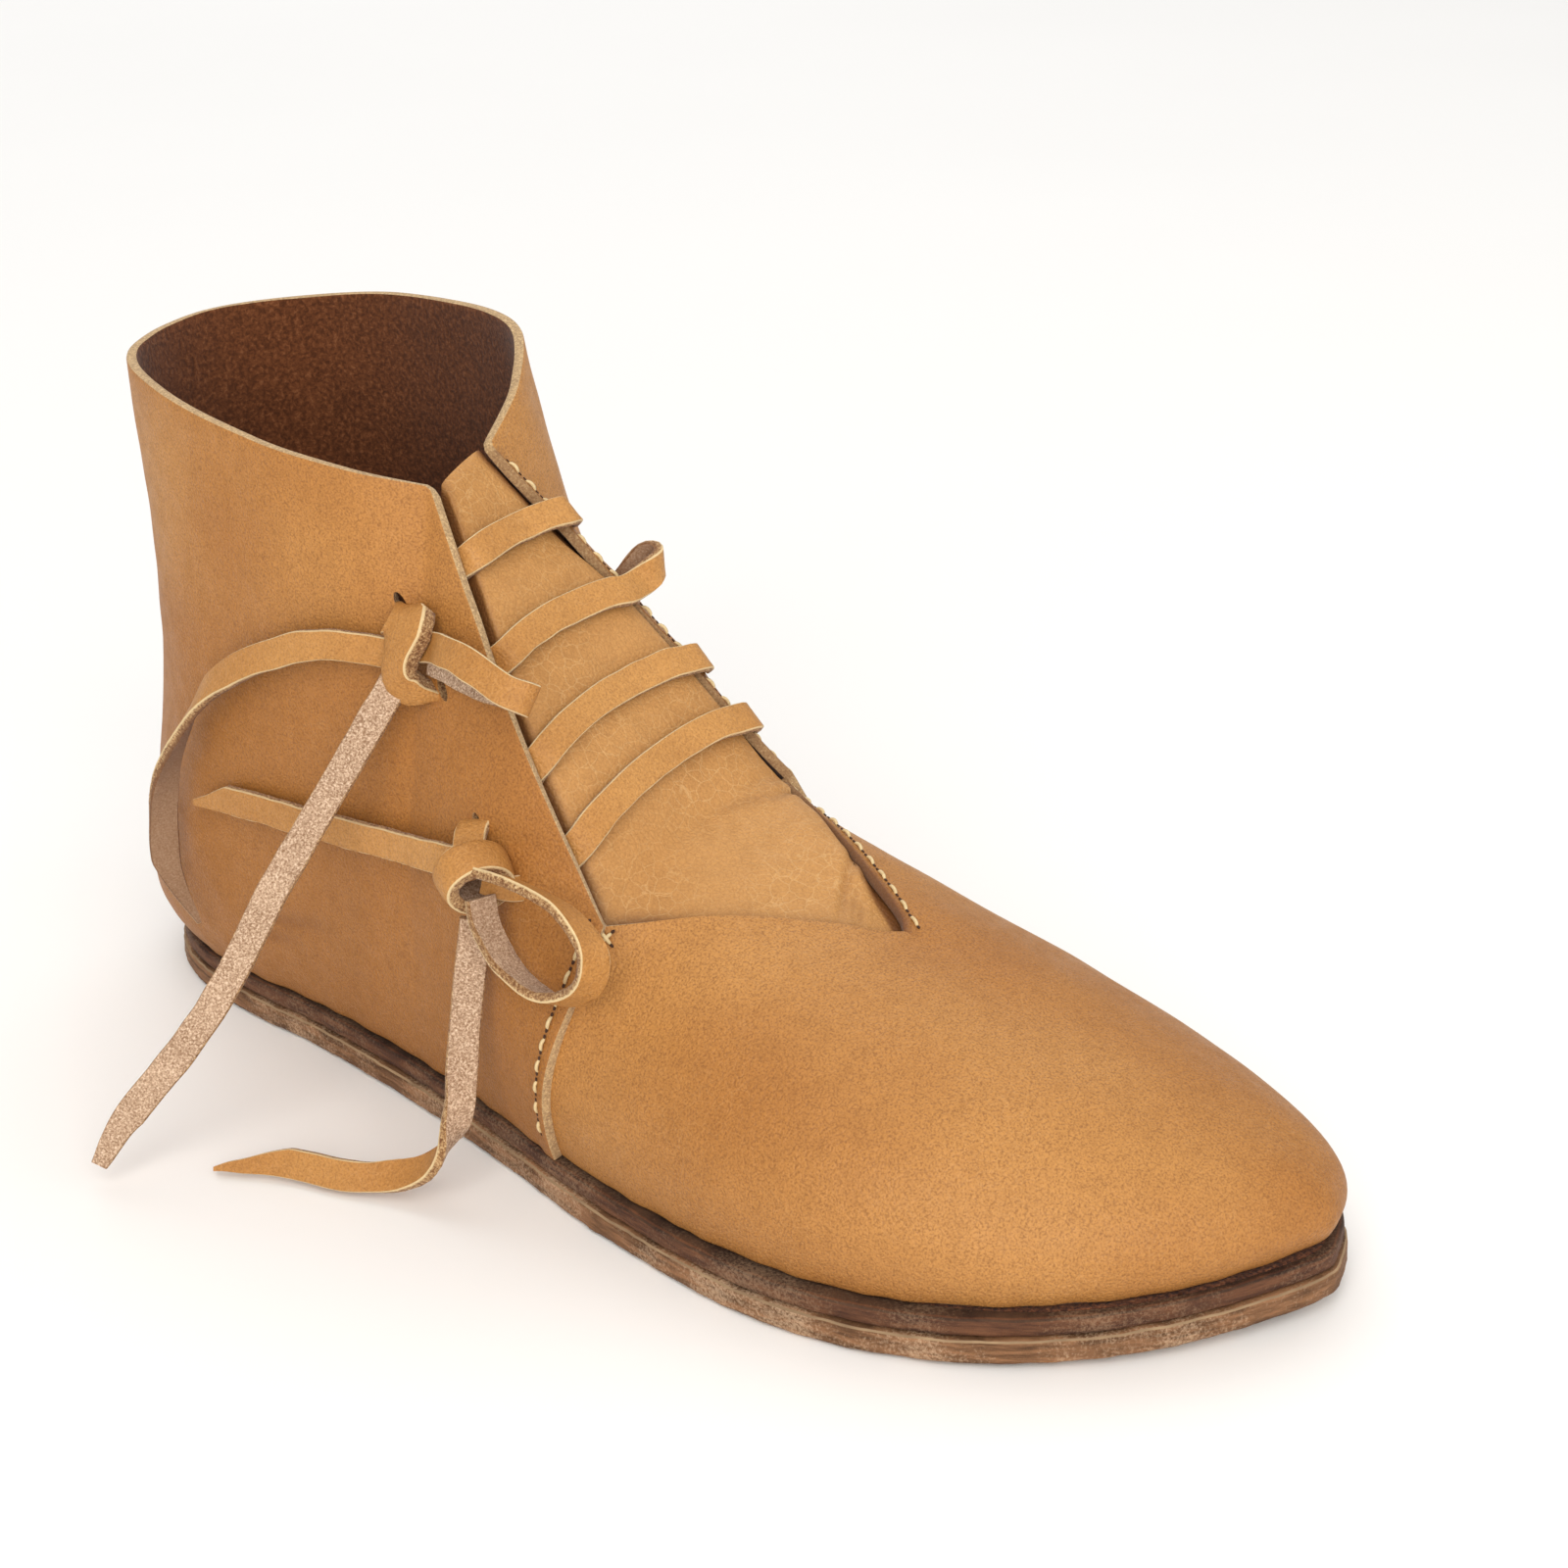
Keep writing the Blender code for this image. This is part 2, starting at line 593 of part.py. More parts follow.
def throat_normal(place, across):
    """Outward direction of the tongue's upper face in the throat."""
    sideways = throat_arc(place, across + 0.02) - throat_arc(place, across - 0.02)
    downward = throat_arc(place + 0.01, across) - throat_arc(place - 0.01, across)
    return unit(np.cross(downward, sideways))


def throat_ribs(place):
    """Ribs on both sides of the throat, from 0 at the collar by the seams to 1 at its point."""
    if place <= THROAT_SHARE:
        down = place / THROAT_SHARE
        return edge_rib(OUTER, down), edge_rib(INNER, down)
    ahead = (place - THROAT_SHARE) / (1 - THROAT_SHARE)
    return SEAM_OUTER + ahead * (TOE_RIB - SEAM_OUTER), SEAM_INNER - ahead * (SEAM_INNER - TOE_RIB)


def tongue_drop(place):
    """Depth of the tongue under the outer face, at the outer and inner edge of the throat."""
    near = WALL + TONGUE_GAP
    ease = np.clip((place - 0.55) / 0.3, 0, 1)
    ease = ease * ease * (3 - 2 * ease)
    return near + (TONGUE_DROP_OUTER - TONGUE_GAP) * (1 - ease), near


def tongue_line(place):
    """Points across the tongue from under the outer quarter to under the inner quarter."""
    rib_outer, rib_inner = throat_ribs(place)
    drop_outer, drop_inner = tongue_drop(place)
    line = []
    for below in TONGUE_UNDER_OUTER[:-1]:
        share = share_below(rib_outer, below)
        line.append(outer_face(rib_outer, share) - drop_outer * face_normal(rib_outer, share))
    line.extend(throat_arc(place, s) for s in np.linspace(0, 1, TONGUE_ARC_STEPS))
    for below in TONGUE_UNDER_INNER[1:]:
        share = share_below(rib_inner, below)
        line.append(outer_face(rib_inner, share) - drop_inner * face_normal(rib_inner, share))
    return np.array(line)


def build_tongue():
    """Tongue that fills the throat from under both quarters and the vamp."""
    places = np.linspace(0.0, 0.97, TONGUE_STEPS)
    lines = np.array([tongue_line(p) for p in places])
    points = lines.reshape(-1, 3)
    faces = grid_faces(len(places), lines.shape[1])
    part = add_mesh("tongue", points, faces, PARTS, leather("tongue", (0.48, 0.25, 0.11), 0.55))
    thicken(part, TONGUE_THICK, 1)
    return part


def strip(name, path, across, colour):
    """Flat strip of leather along a path, its breadth turned to the across directions."""
    path = np.asarray(path, float)
    ahead = unit(np.gradient(path, axis=0))
    across = np.asarray(across, float)
    across = unit(across - ahead * np.sum(across * ahead, axis=1, keepdims=True))
    rows = np.stack([path - across * THONG_WIDE / 2, path + across * THONG_WIDE / 2], axis=1)
    faces = grid_faces(len(path), 2)
    part = add_mesh(name, rows.reshape(-1, 3), faces, PARTS, leather(name, colour, 0.55))
    thicken(part, THONG_THICK, 0)
    return part


def bar_path(outer_share, inner_share, outer_slit, inner_slit):
    """Centre line and facing of one lace bar, from inside the outer slit to the inner slit."""
    half = THONG_THICK / 2
    place_outer, place_inner = THROAT_SHARE * outer_share, THROAT_SHARE * inner_share
    drop_outer, drop_inner = tongue_drop((place_outer + place_inner) / 2)
    under = drop_outer - THONG_GAP - half
    edge = outer_face(edge_rib(OUTER, outer_share), 1.0)
    points = []
    facing = []
    for s in BAR_UNDER:
        y, z = np.array(outer_slit) * (1 - s) + edge[1:] * s
        rib, share = quarter_at(OUTER, y, z)
        normal = face_normal(rib, share)
        points.append(outer_face(rib, share) - under * normal)
        facing.append(normal)
    over = THONG_GAP + half
    for s in np.linspace(0.06, 0.97, BAR_STEPS):
        place = place_outer + (place_inner - place_outer) * s
        normal = throat_normal(place, s)
        rise = np.clip((s - 0.6) / 0.37, 0, 1) * (drop_inner + LAP * 0.5)
        points.append(throat_arc(place, s) + (over + BAR_LIFT + rise) * normal)
        facing.append(normal)
    edge = outer_face(edge_rib(INNER, inner_share), 1.0)
    for s in BAR_OVER:
        y, z = np.array(inner_slit) * s + edge[1:] * (1 - s)
        rib, share = quarter_at(INNER, y, z)
        normal = face_normal(rib, share)
        points.append(outer_face(rib, share) + (over + lap_at(rib)) * normal)
        facing.append(normal)
    return np.array(points), np.array(facing)


def build_bars():
    """The four lengths of thong that cross the tongue."""
    for name, outer_share, inner_share, outer_y, outer_z, inner_y, inner_z in BARS:
        path, facing = bar_path(outer_share, inner_share, (outer_y, outer_z), (inner_y, inner_z))
        across = np.cross(unit(np.gradient(path, axis=0)), facing)
        strip(name, path, across, (0.42, 0.20, 0.08))


def build_knots():
    """A broad turn of thong at each tie."""
    for name, centre, axis, radius_along, radius_out, start, end in KNOTS:
        axis = unit(np.array(axis, float))
        out = np.array(KNOT_OUTWARD)
        out = unit(out - axis * np.dot(out, axis))
        sideways = np.cross(out, axis)
        turn = np.radians(np.linspace(start, end, KNOT_STEPS))[:, None]
        path = np.array(centre) + sideways * radius_along * np.cos(turn)
        path = path + out * radius_out * np.sin(turn)
        strip(name, path, np.broadcast_to(axis, path.shape), (0.42, 0.20, 0.08))


def build_ends():
    """Loops and free ends of both thongs."""
    for name, rows in ROUTES.items():
        rows = np.array(rows)
        steps = np.linalg.norm(np.diff(rows[:, :3], axis=0), axis=1).sum() / ROUTE_PITCH
        line = spline(rows, np.linspace(0, len(rows) - 1, max(12, round(steps))))
        strip(name, line[:, :3], line[:, 3:], (0.42, 0.20, 0.08))


build_soles()
build_upper()
build_tongue()
build_bars()
build_knots()
build_ends()
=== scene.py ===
"""Looks of a laced leather ankle boot of medieval cut for the right foot.

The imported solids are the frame. Each class below makes one sub-assembly of the boot as fine
surfaces in the places of those solids, and dresses it in its leather. Lengths are millimetres
inside the classes and become metres where a mesh is made. The toe points along -Y, the outer
side of the foot along -X, and the sole stands on z = 0.
"""

import logging
import math
from dataclasses import dataclass, field
from enum import IntEnum
from typing import Any, Mapping, Sequence

import bpy
import numpy as np
from mathutils import Matrix
from numpy.typing import NDArray


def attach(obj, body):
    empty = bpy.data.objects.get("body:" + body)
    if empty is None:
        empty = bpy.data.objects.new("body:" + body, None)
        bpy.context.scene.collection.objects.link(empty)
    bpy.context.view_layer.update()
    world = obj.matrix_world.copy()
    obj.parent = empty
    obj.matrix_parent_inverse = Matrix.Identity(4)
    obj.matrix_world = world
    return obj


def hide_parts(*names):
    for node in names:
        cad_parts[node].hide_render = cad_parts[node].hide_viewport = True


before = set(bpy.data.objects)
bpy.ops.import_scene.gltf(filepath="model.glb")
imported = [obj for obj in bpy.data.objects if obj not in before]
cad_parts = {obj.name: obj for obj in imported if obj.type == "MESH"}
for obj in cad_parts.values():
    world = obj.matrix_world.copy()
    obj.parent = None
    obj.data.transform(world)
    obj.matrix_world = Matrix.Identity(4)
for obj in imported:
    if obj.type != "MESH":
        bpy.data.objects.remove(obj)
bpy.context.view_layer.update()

Array = NDArray[np.float64]
Span = tuple[float, float]
Socket = bpy.types.NodeSocket
LOG = logging.getLogger("boot")
MM = 0.001
BODY = "root"


class Side(IntEnum):
    """Sides of the right foot, as the sign of x."""

    OUTER = -1
    INNER = 1


class Face(IntEnum):
    """Faces of a cut sheet of leather, as numbers of its material slots."""

    GRAIN = 0
    FLESH = 1
    EDGE = 2


# Small helpers for curves and surfaces


def unit(vectors: Array) -> Array:
    """Each vector with length one."""
    return vectors / np.maximum(np.linalg.norm(vectors, axis=-1, keepdims=True), 1e-9)


def ease(values: Array) -> Array:
    """Smooth step: 0 up to 0, 1 from 1 on, and 3v^2 - 2v^3 between."""
    held = np.clip(values, 0.0, 1.0)
    return held * held * (3 - 2 * held)


def travel(line: Array) -> Array:
    """Distance travelled to each point of a line."""
    steps = np.linalg.norm(np.diff(line, axis=0), axis=1)
    return np.concatenate([[0.0], np.cumsum(steps)])


def spline(values: Any, at: Any) -> Array:
    """Smooth open curve through rows of values, a Catmull-Rom cubic between each two rows.

    Args:
        values: rows to pass through.
        at: places on the curve, from 0 to the last row's number.

    Returns:
        The rows at those places.
    """
    values = np.asarray(values, float)
    last = len(values) - 1
    at = np.clip(np.asarray(at, float), 0, last)
    start = np.minimum(at.astype(int), last - 1)
    share = (at - start).reshape(at.shape + (1,) * (values.ndim - 1))
    padded = np.concatenate([
        2 * values[:1] - values[1:2],
        values,
        2 * values[-1:] - values[-2:-1],
    ])
    before, left, right, after = (padded[start + k] for k in range(4))
    curve = 2 * left + (right - before) * share
    curve = curve + (2 * before - 5 * left + 4 * right - after) * share ** 2
    return 0.5 * (curve + (3 * left - before - 3 * right + after) * share ** 3)


def looped(values: Array, at: Array) -> Array:
    """Smooth closed curve through rows of values; at wraps round after the last row."""
    wrapped = np.concatenate([values[-3:], values, values[:3]])
    return spline(wrapped, np.mod(at, len(values)) + 3)


def cornered(values: Array, corners: Sequence[int], at: Array) -> Array:
    """Closed curve through rows of values that is smooth between the numbered corner rows."""
    count = len(values)
    at = np.mod(np.asarray(at, float), count)
    result = np.zeros(at.shape + values.shape[1:])
    for number, first in enumerate(corners):
        span = (corners[(number + 1) % len(corners)] - first) % count
        ahead = np.mod(at - first, count)
        inside = ahead <= span
        rows = values[[(first + k) % count for k in range(span + 1)]]
        result[inside] = spline(rows, ahead[inside])
    return result


@dataclass(frozen=True)
class Swell:
    """Soft unevenness: a sum of plane waves in scattered directions.

    high is about the greatest height, long the typical distance between two rises in millimetres,
    and seed the number that fixes the directions, lengths and phases of the waves.
    """

    high: float
    long: float
    seed: int
    waves: int = 8

    def at(self, points: Array) -> Array:
        """Height at each place; places are in millimetres, with x, y, z last."""
        dice = np.random.default_rng(self.seed)
        ways = unit(dice.normal(size=(self.waves, 3)))
        lengths = self.long * dice.uniform(0.6, 1.5, self.waves)
        phases = dice.uniform(0, 2 * math.pi, self.waves)
        turns = points @ (ways * (2 * math.pi / lengths)[:, None]).T + phases
        return self.high * (np.sin(turns).sum(axis=-1) / math.sqrt(self.waves * 1.5))


def distance_to(points: Array, line: Any) -> tuple[Array, Array]:
    """Shortest distance from each point to a line of straight pieces, and the share along it.

    Args:
        points: places, with x, y, z last.
        line: the line's corner points in order.

    Returns:
        Distances, and how far along the line the nearest place is, from 0 to 1.
    """
    line = np.asarray(line, float)
    flat = points.reshape(-1, 1, 3)
    ahead = np.diff(line, axis=0)
    share = np.sum((flat - line[:-1]) * ahead, axis=-1) / np.sum(ahead * ahead, axis=-1)
    share = np.clip(share, 0, 1)
    gaps = np.linalg.norm(flat - line[:-1] - share[..., None] * ahead, axis=-1)
    best = np.argmin(gaps, axis=1)
    rows = np.arange(len(best))
    passed = travel(line)
    reached = passed[best] + share[rows, best] * np.diff(passed)[best]
    shape = points.shape[:-1]
    return gaps[rows, best].reshape(shape), (reached / passed[-1]).reshape(shape)


# Meshes


def grid_faces(rows: int, columns: int, closed: bool = False) -> Array:
    """Four-cornered faces of a grid of points numbered row by row.

    Args:
        rows: rows of points.
        columns: points in a row.
        closed: whether the last point of a row joins the first.

    Returns:
        Four point numbers for each face.
    """
    wide = columns if closed else columns - 1
    row, column = np.meshgrid(np.arange(rows - 1), np.arange(wide), indexing="ij")
    near = (row * columns + column).ravel()
    beside = (row * columns + (column + 1) % columns).ravel()
    return np.stack([near, beside, beside + columns, near + columns], axis=1)


def tube_faces(rows: int, ring: int, start: int = 0) -> list[list[int]]:
    """Faces of a closed tube: a grid that joins round, with a cap on its first and last ring.

    Args:
        rows: number of rings.
        ring: points in a ring.
        start: number of the first point.

    Returns:
        Point numbers of each face, the two caps last.
    """
    last = start + (rows - 1) * ring
    caps = [list(range(start + ring - 1, start - 1, -1)), list(range(last, last + ring))]
    return (grid_faces(rows, ring, closed=True) + start).tolist() + caps


def add_mesh(
    name: str,
    points: Array,
    faces: Sequence[Any],
    materials: Sequence[bpy.types.Material],
    slots: Any = None,
    tones: Mapping[str, Array] | None = None,
) -> bpy.types.Object:
    """Object at the origin with its place in its mesh.

    Args:
        name: plain name of the piece.
        points: places in millimetres.
        faces: point numbers of each face.
        materials: materials in the order of the slots.
        slots: material number of each face, or None for the first.
        tones: named values kept on the points for the materials to read.

    Returns:
        The new object, linked to the scene.
    """
    points = np.asarray(points, float).reshape(-1, 3)
    mesh = bpy.data.meshes.new(name)
    mesh.from_pydata((points * MM).tolist(), [], [list(map(int, face)) for face in faces])
    for material in materials:
        mesh.materials.append(material)
    if slots is not None:
        mesh.polygons.foreach_set("material_index", np.asarray(slots, np.int32))
    mesh.polygons.foreach_set("use_smooth", np.ones(len(mesh.polygons), bool))
    for key, values in (tones or {}).items():
        kept = mesh.attributes.new(key, "FLOAT", "POINT")
        kept.data.foreach_set("value", np.asarray(values, np.float32).ravel())
    mesh.update()
    piece = bpy.data.objects.new(name, mesh)
    bpy.context.scene.collection.objects.link(piece)
    return piece


def settle(piece: bpy.types.Object, sharp_deg: float = 40.0) -> None:
    """Applies the piece's modifiers to its mesh and marks its sharp edges.

    Args:
        piece: object whose modifiers are applied.
        sharp_deg: edges that turn by more than this stay sharp.
    """
    bpy.context.view_layer.update()
    shaped = piece.evaluated_get(bpy.context.evaluated_depsgraph_get())
    mesh = bpy.data.meshes.new_from_object(shaped)
    rough = piece.data
    piece.modifiers.clear()
    piece.data = mesh
    bpy.data.meshes.remove(rough)
    mesh.name = piece.name
    mesh.set_sharp_from_angle(angle=math.radians(sharp_deg))


def thicken(piece: bpy.types.Object, thick: float, rounding: float, corner_deg: float = 55.0) -> None:
    """Gives a grain face its thickness inwards, with a rounded cut edge.

    Args:
        piece: object whose mesh is the grain face.
        thick: thickness in millimetres.
        rounding: width of the rounding in millimetres.
        corner_deg: edges that turn by more than this are rounded.
    """
    wall = piece.modifiers.new("wall", "SOLIDIFY")
    wall.thickness = thick * MM
    wall.offset = -1.0
    wall.material_offset = Face.FLESH
    wall.material_offset_rim = Face.EDGE
    rim = piece.modifiers.new("rim", "BEVEL")
    rim.width = rounding * MM
    rim.segments = 2
    rim.limit_method = "ANGLE"
    rim.angle_limit = math.radians(corner_deg)


def on_boot(piece: bpy.types.Object, slot: str, *nodes: str) -> bpy.types.Object:
    """Lets a piece ride with the boot and hides the solids it stands for."""
    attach(piece, BODY)
    if nodes:
        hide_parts(*nodes)
    LOG.info("%s: %d faces", piece.name, len(piece.data.polygons))
    return piece


# Finishes


def linear(code: str) -> tuple[float, float, float, float]:
    """Linear colour of an sRGB hex code such as C68A4F."""
    parts = [int(code[k:k + 2], 16) / 255 for k in (0, 2, 4)]
    red, green, blue = (
        part / 12.92 if part <= 0.04045 else ((part + 0.055) / 1.055) ** 2.4 for part in parts
    )
    return red, green, blue, 1.0


def feed(tree: bpy.types.NodeTree, node: bpy.types.Node, inputs: Mapping[Any, Any]) -> None:
    """Links or sets sockets of a node, given by name or number with a socket or a constant."""
    for name, value in inputs.items():
        if isinstance(value, bpy.types.NodeSocket):
            tree.links.new(value, node.inputs[name])
        else:
            node.inputs[name].default_value = value


def add_node(
    tree: bpy.types.NodeTree,
    kind: str,
    inputs: Mapping[Any, Any],
    **settings: Any,
) -> bpy.types.Node:
    """Adds a node with its settings and links.

    Args:
        tree: node tree of the material.
        kind: node type after the word ShaderNode.
        inputs: sockets by name or number, each with a socket to link or a constant.
        settings: properties of the node.

    Returns:
        The new node.
    """
    made = tree.nodes.new("ShaderNode" + kind)
    for name, value in settings.items():
        setattr(made, name, value)
    feed(tree, made, inputs)
    return made


def per(size_mm: float) -> float:
    """Texture scale at which one feature is as large as the given millimetres."""
    return 1.0 / (size_mm * MM)


@dataclass
class Shading:
    """A material in the making, with short ways to add what the finishes share."""

    name: str
    material: bpy.types.Material = field(init=False)
    tree: bpy.types.NodeTree = field(init=False)
    place: Socket = field(init=False)

    def __post_init__(self) -> None:
        """Starts the material with the object's own places."""
        self.material = bpy.data.materials.new(self.name)
        self.material.use_nodes = True
        self.tree = self.material.node_tree
        self.place = add_node(self.tree, "TexCoord", {}).outputs["Object"]

    def noise(self, size_mm: float, detail: float, roughness: float = 0.5, **inputs: Any) -> bpy.types.Node:
        """Noise texture with features of a size in millimetres."""
        return add_node(self.tree, "TexNoise", {
            "Vector": self.place, "Scale": per(size_mm), "Detail": detail, "Roughness": roughness, **inputs,
        })

    def borders(self, size_mm: float, place: Socket) -> Socket:
        """Distance to the nearest border between cells of a size in millimetres."""
        return add_node(self.tree, "TexVoronoi", {
            "Vector": place, "Scale": per(size_mm),
        }, feature="DISTANCE_TO_EDGE").outputs["Distance"]

    def mapped(self, value: Socket, span: Span, low: float = 0.0, high: float = 1.0,
               smooth: bool = False) -> Socket:
        """Value brought from a span to the range low to high, and held there."""
        return add_node(self.tree, "MapRange", {
            "Value": value, "From Min": span[0], "From Max": span[1], "To Min": low, "To Max": high,
        }, interpolation_type="SMOOTHSTEP" if smooth else "LINEAR").outputs[0]

    def worked(self, operation: str, *values: Any, clamp: bool = False) -> Socket:
        """Result of a Math node on sockets and constants."""
        made = add_node(self.tree, "Math", dict(enumerate(values)), operation=operation, use_clamp=clamp)
        return made.outputs[0]

    def marked(self, name: str) -> Socket:
        """Value that the points keep under a name."""
        return add_node(self.tree, "Attribute", {}, attribute_name=name).outputs["Fac"]

    def layered(self, base: str, *layers: tuple[Socket, str]) -> Socket:
        """Base colour with other colours laid over it in turn, each by its share."""
        colour: Any = linear(base)
        for share, code in layers:
            colour = add_node(self.tree, "Mix", {
                0: share, 6: colour, 7: linear(code),
            }, data_type="RGBA").outputs[2]
        return colour

    def relief(self, height: Socket, deep_mm: float, strength: float) -> Socket:
        """Normals bent by a height of some millimetres."""
        return add_node(self.tree, "Bump", {
            "Strength": strength, "Distance": deep_mm * MM, "Height": height,
        }).outputs[0]

    def finish(self, inputs: Mapping[str, Any]) -> bpy.types.Material:
        """Links or sets the sockets of the Principled BSDF and hands the material over."""
        feed(self.tree, self.tree.nodes["Principled BSDF"], inputs)
        return self.material


@dataclass(frozen=True)
class GrainLeather:
    """Full-grain cowhide, vegetable tanned and hand waxed.

    The eye sees an even warm tan that drifts a little over a few centimetres, fine dark pores, a
    small pebble that breaks the satin gloss, and hair-thin pale cracks where it has been bent.
    """

    name: str
    light: str = "BE8748"
    deep: str = "AB7236"
    pore: str = "6B3F1C"
    crack: str = "CB9A62"
    # Colour that the painted shade darkens the grain towards
    shade_colour: str = "5A2F13"
    roughness: float = 0.5
    drift_mm: float = 60.0
    mottle_mm: float = 4.0
    pore_mm: float = 0.42
    pored: float = 0.5
    pebble_mm: float = 1.1
    crack_mm: float = 2.2
    crack_bend: float = 0.002
    relief_mm: float = 0.12
    clouded: float = 0.16
    valley: float = 0.14
    drift_span: Span = (0.3, 0.75)
    cloud_span: Span = (0.45, 0.75)
    pore_span: Span = (0.28, 0.56)
    valley_span: Span = (0.0, 0.12)
    crack_span: Span = (0.0, 0.04)
    gloss_span: Span = (0.3, 0.7)
    pebble_span: Span = (0.0, 0.3)

    def build(self) -> bpy.types.Material:
        """Makes the material; the points' tone, crackle and painted shade steer its colour."""
        shading = Shading(self.name)
        drift = shading.noise(self.drift_mm, 2.0).outputs["Fac"]
        mottle = shading.noise(self.mottle_mm, 5.0, 0.65)
        patchy = mottle.outputs["Fac"]
        pores = shading.noise(self.pore_mm, 1.0).outputs["Fac"]
        pebble = shading.borders(self.pebble_mm, shading.place)
        bent = add_node(shading.tree, "MixRGB", {
            "Fac": self.crack_bend, "Color1": shading.place, "Color2": mottle.outputs["Color"],
        }, blend_type="ADD").outputs[0]
        cracks = shading.mapped(shading.borders(self.crack_mm, bent), self.crack_span, 1.0, 0.0)
        # tone holds a random drift and, on the upper, painted shade
        toned = shading.worked("ADD", drift, shading.marked("tone"))
        dots = shading.mapped(pores, self.pore_span, self.pored, 0.0)
        colour = shading.layered(
            self.light,
            (shading.mapped(toned, self.drift_span, smooth=True), self.deep),
            (shading.mapped(patchy, self.cloud_span, high=self.clouded), self.pore),
            (shading.mapped(pebble, self.valley_span, self.valley, 0.0), self.pore),
            (dots, self.pore),
            (shading.worked("MULTIPLY", cracks, shading.marked("crackle")), self.crack),
            # Painted shade: the points' shade darkens the grain towards the shade colour
            (shading.marked("shade"), self.shade_colour),
        )
        rounded = shading.mapped(pebble, self.pebble_span, smooth=True)
        height = shading.worked("MULTIPLY_ADD", patchy, 1.2, rounded)
        height = shading.worked("SUBTRACT", height, dots)
        smoothest, roughest = self.roughness - 0.06, self.roughness + 0.1
        return shading.finish({
            "Base Color": colour,
            "Roughness": shading.mapped(patchy, self.gloss_span, smoothest, roughest),
            "Normal": shading.relief(height, self.relief_mm, 0.6),
            "IOR": 1.48,
            "Specular IOR Level": 0.3,
        })


@dataclass(frozen=True)
class FleshLeather:
    """The loose, napped back of the hide, or its cut edge.

    The eye sees a matt, mealy brown with short fibres that catch the light in specks. A cut edge
    has a pale line under the grain.
    """

    name: str
    dark: str
    light: str
    speck: str
    rim: str
    fibre_mm: float = 0.6
    cloud_mm: float = 9.0
    relief_mm: float = 0.3
    sheen: float = 0.12
    specked: float = 0.55
    nap_span: Span = (0.33, 0.67)
    speck_span: Span = (0.58, 0.70)

    def build(self) -> bpy.types.Material:
        """Makes the material; the points' pale and painted shade steer its colour."""
        shading = Shading(self.name)
        cloud = shading.noise(self.cloud_mm, 3.0, 0.6).outputs["Fac"]
        fibre = shading.noise(self.fibre_mm, 3.0, 0.65, Distortion=0.4).outputs["Fac"]
        nap = shading.mapped(fibre, self.nap_span, smooth=True)
        blend = shading.worked("MULTIPLY_ADD", cloud, 0.5, -0.25)
        colour = shading.layered(
            self.dark,
            (shading.worked("ADD", nap, blend, clamp=True), self.light),
            (shading.mapped(fibre, self.speck_span, high=self.specked), self.speck),
            (shading.marked("pale"), self.rim),
            # Painted shade: the points' shade darkens the nap or edge towards the dark colour
            (shading.marked("shade"), self.dark),
        )
        return shading.finish({
            "Base Color": colour,
            "Normal": shading.relief(fibre, self.relief_mm, 0.8),
            "Roughness": 0.95,
            "Specular IOR Level": 0.15,
            "Sheen Weight": self.sheen,
            "Sheen Roughness": 0.5,
        })


@dataclass(frozen=True)
class SoleLeather:
    """Thick oak-bark sole leather with its edge cut by knife, stained dark and worn.

    The eye sees dark brown streaks that follow the layers, pale scuffs where the stain is rubbed
    off, and a dry fibrous surface.
    """

    name: str
    stain: str
    worn: str
    scuff: str
    scuffed: float = 0.5
    streak_mm: float = 11.0
    layer_mm: float = 1.3
    fibre_mm: float = 0.6
    patch_mm: float = 22.0
    relief_mm: float = 0.35
    roughness: float = 0.72
    streak_span: Span = (0.32, 0.70)
    scuff_span: Span = (0.24, 0.38)

    def build(self) -> bpy.types.Material:
        """Makes the material; streaks are noise squeezed in height, so they lie along the layers."""
        shading = Shading(self.name)
        lying = add_node(shading.tree, "Mapping", {
            "Vector": shading.place, "Scale": (1.0, 1.0, self.streak_mm / self.layer_mm),
        }).outputs[0]
        streak = shading.noise(self.streak_mm, 6.0, 0.65, Vector=lying).outputs["Fac"]
        fibre = shading.noise(self.fibre_mm, 4.0, 0.7).outputs["Fac"]
        patch = shading.noise(self.patch_mm, 3.0, 0.6).outputs["Fac"]
        rubbed = shading.worked("MULTIPLY", fibre, patch)
        colour = shading.layered(
            self.stain,
            (shading.mapped(streak, self.streak_span, smooth=True), self.worn),
            (shading.mapped(rubbed, self.scuff_span, high=self.scuffed), self.scuff),
        )
        height = shading.worked("MULTIPLY_ADD", streak, 0.6, fibre)
        return shading.finish({
            "Base Color": colour,
            "Normal": shading.relief(height, self.relief_mm, 0.8),
            "Roughness": self.roughness,
            "Specular IOR Level": 0.3,
        })


@dataclass(frozen=True)
class PlainFinish:
    """Surface of one colour family with a fine mottle, such as waxed thread or a floor."""

    name: str
    light: str
    dark: str
    grain_mm: float
    roughness: float

    def build(self) -> bpy.types.Material:
        """Makes the material: noise between the two colours."""
        shading = Shading(self.name)
        grain = shading.noise(self.grain_mm, 3.0).outputs["Fac"]
        colour = shading.layered(self.dark, (grain, self.light))
        return shading.finish({"Base Color": colour, "Roughness": self.roughness})


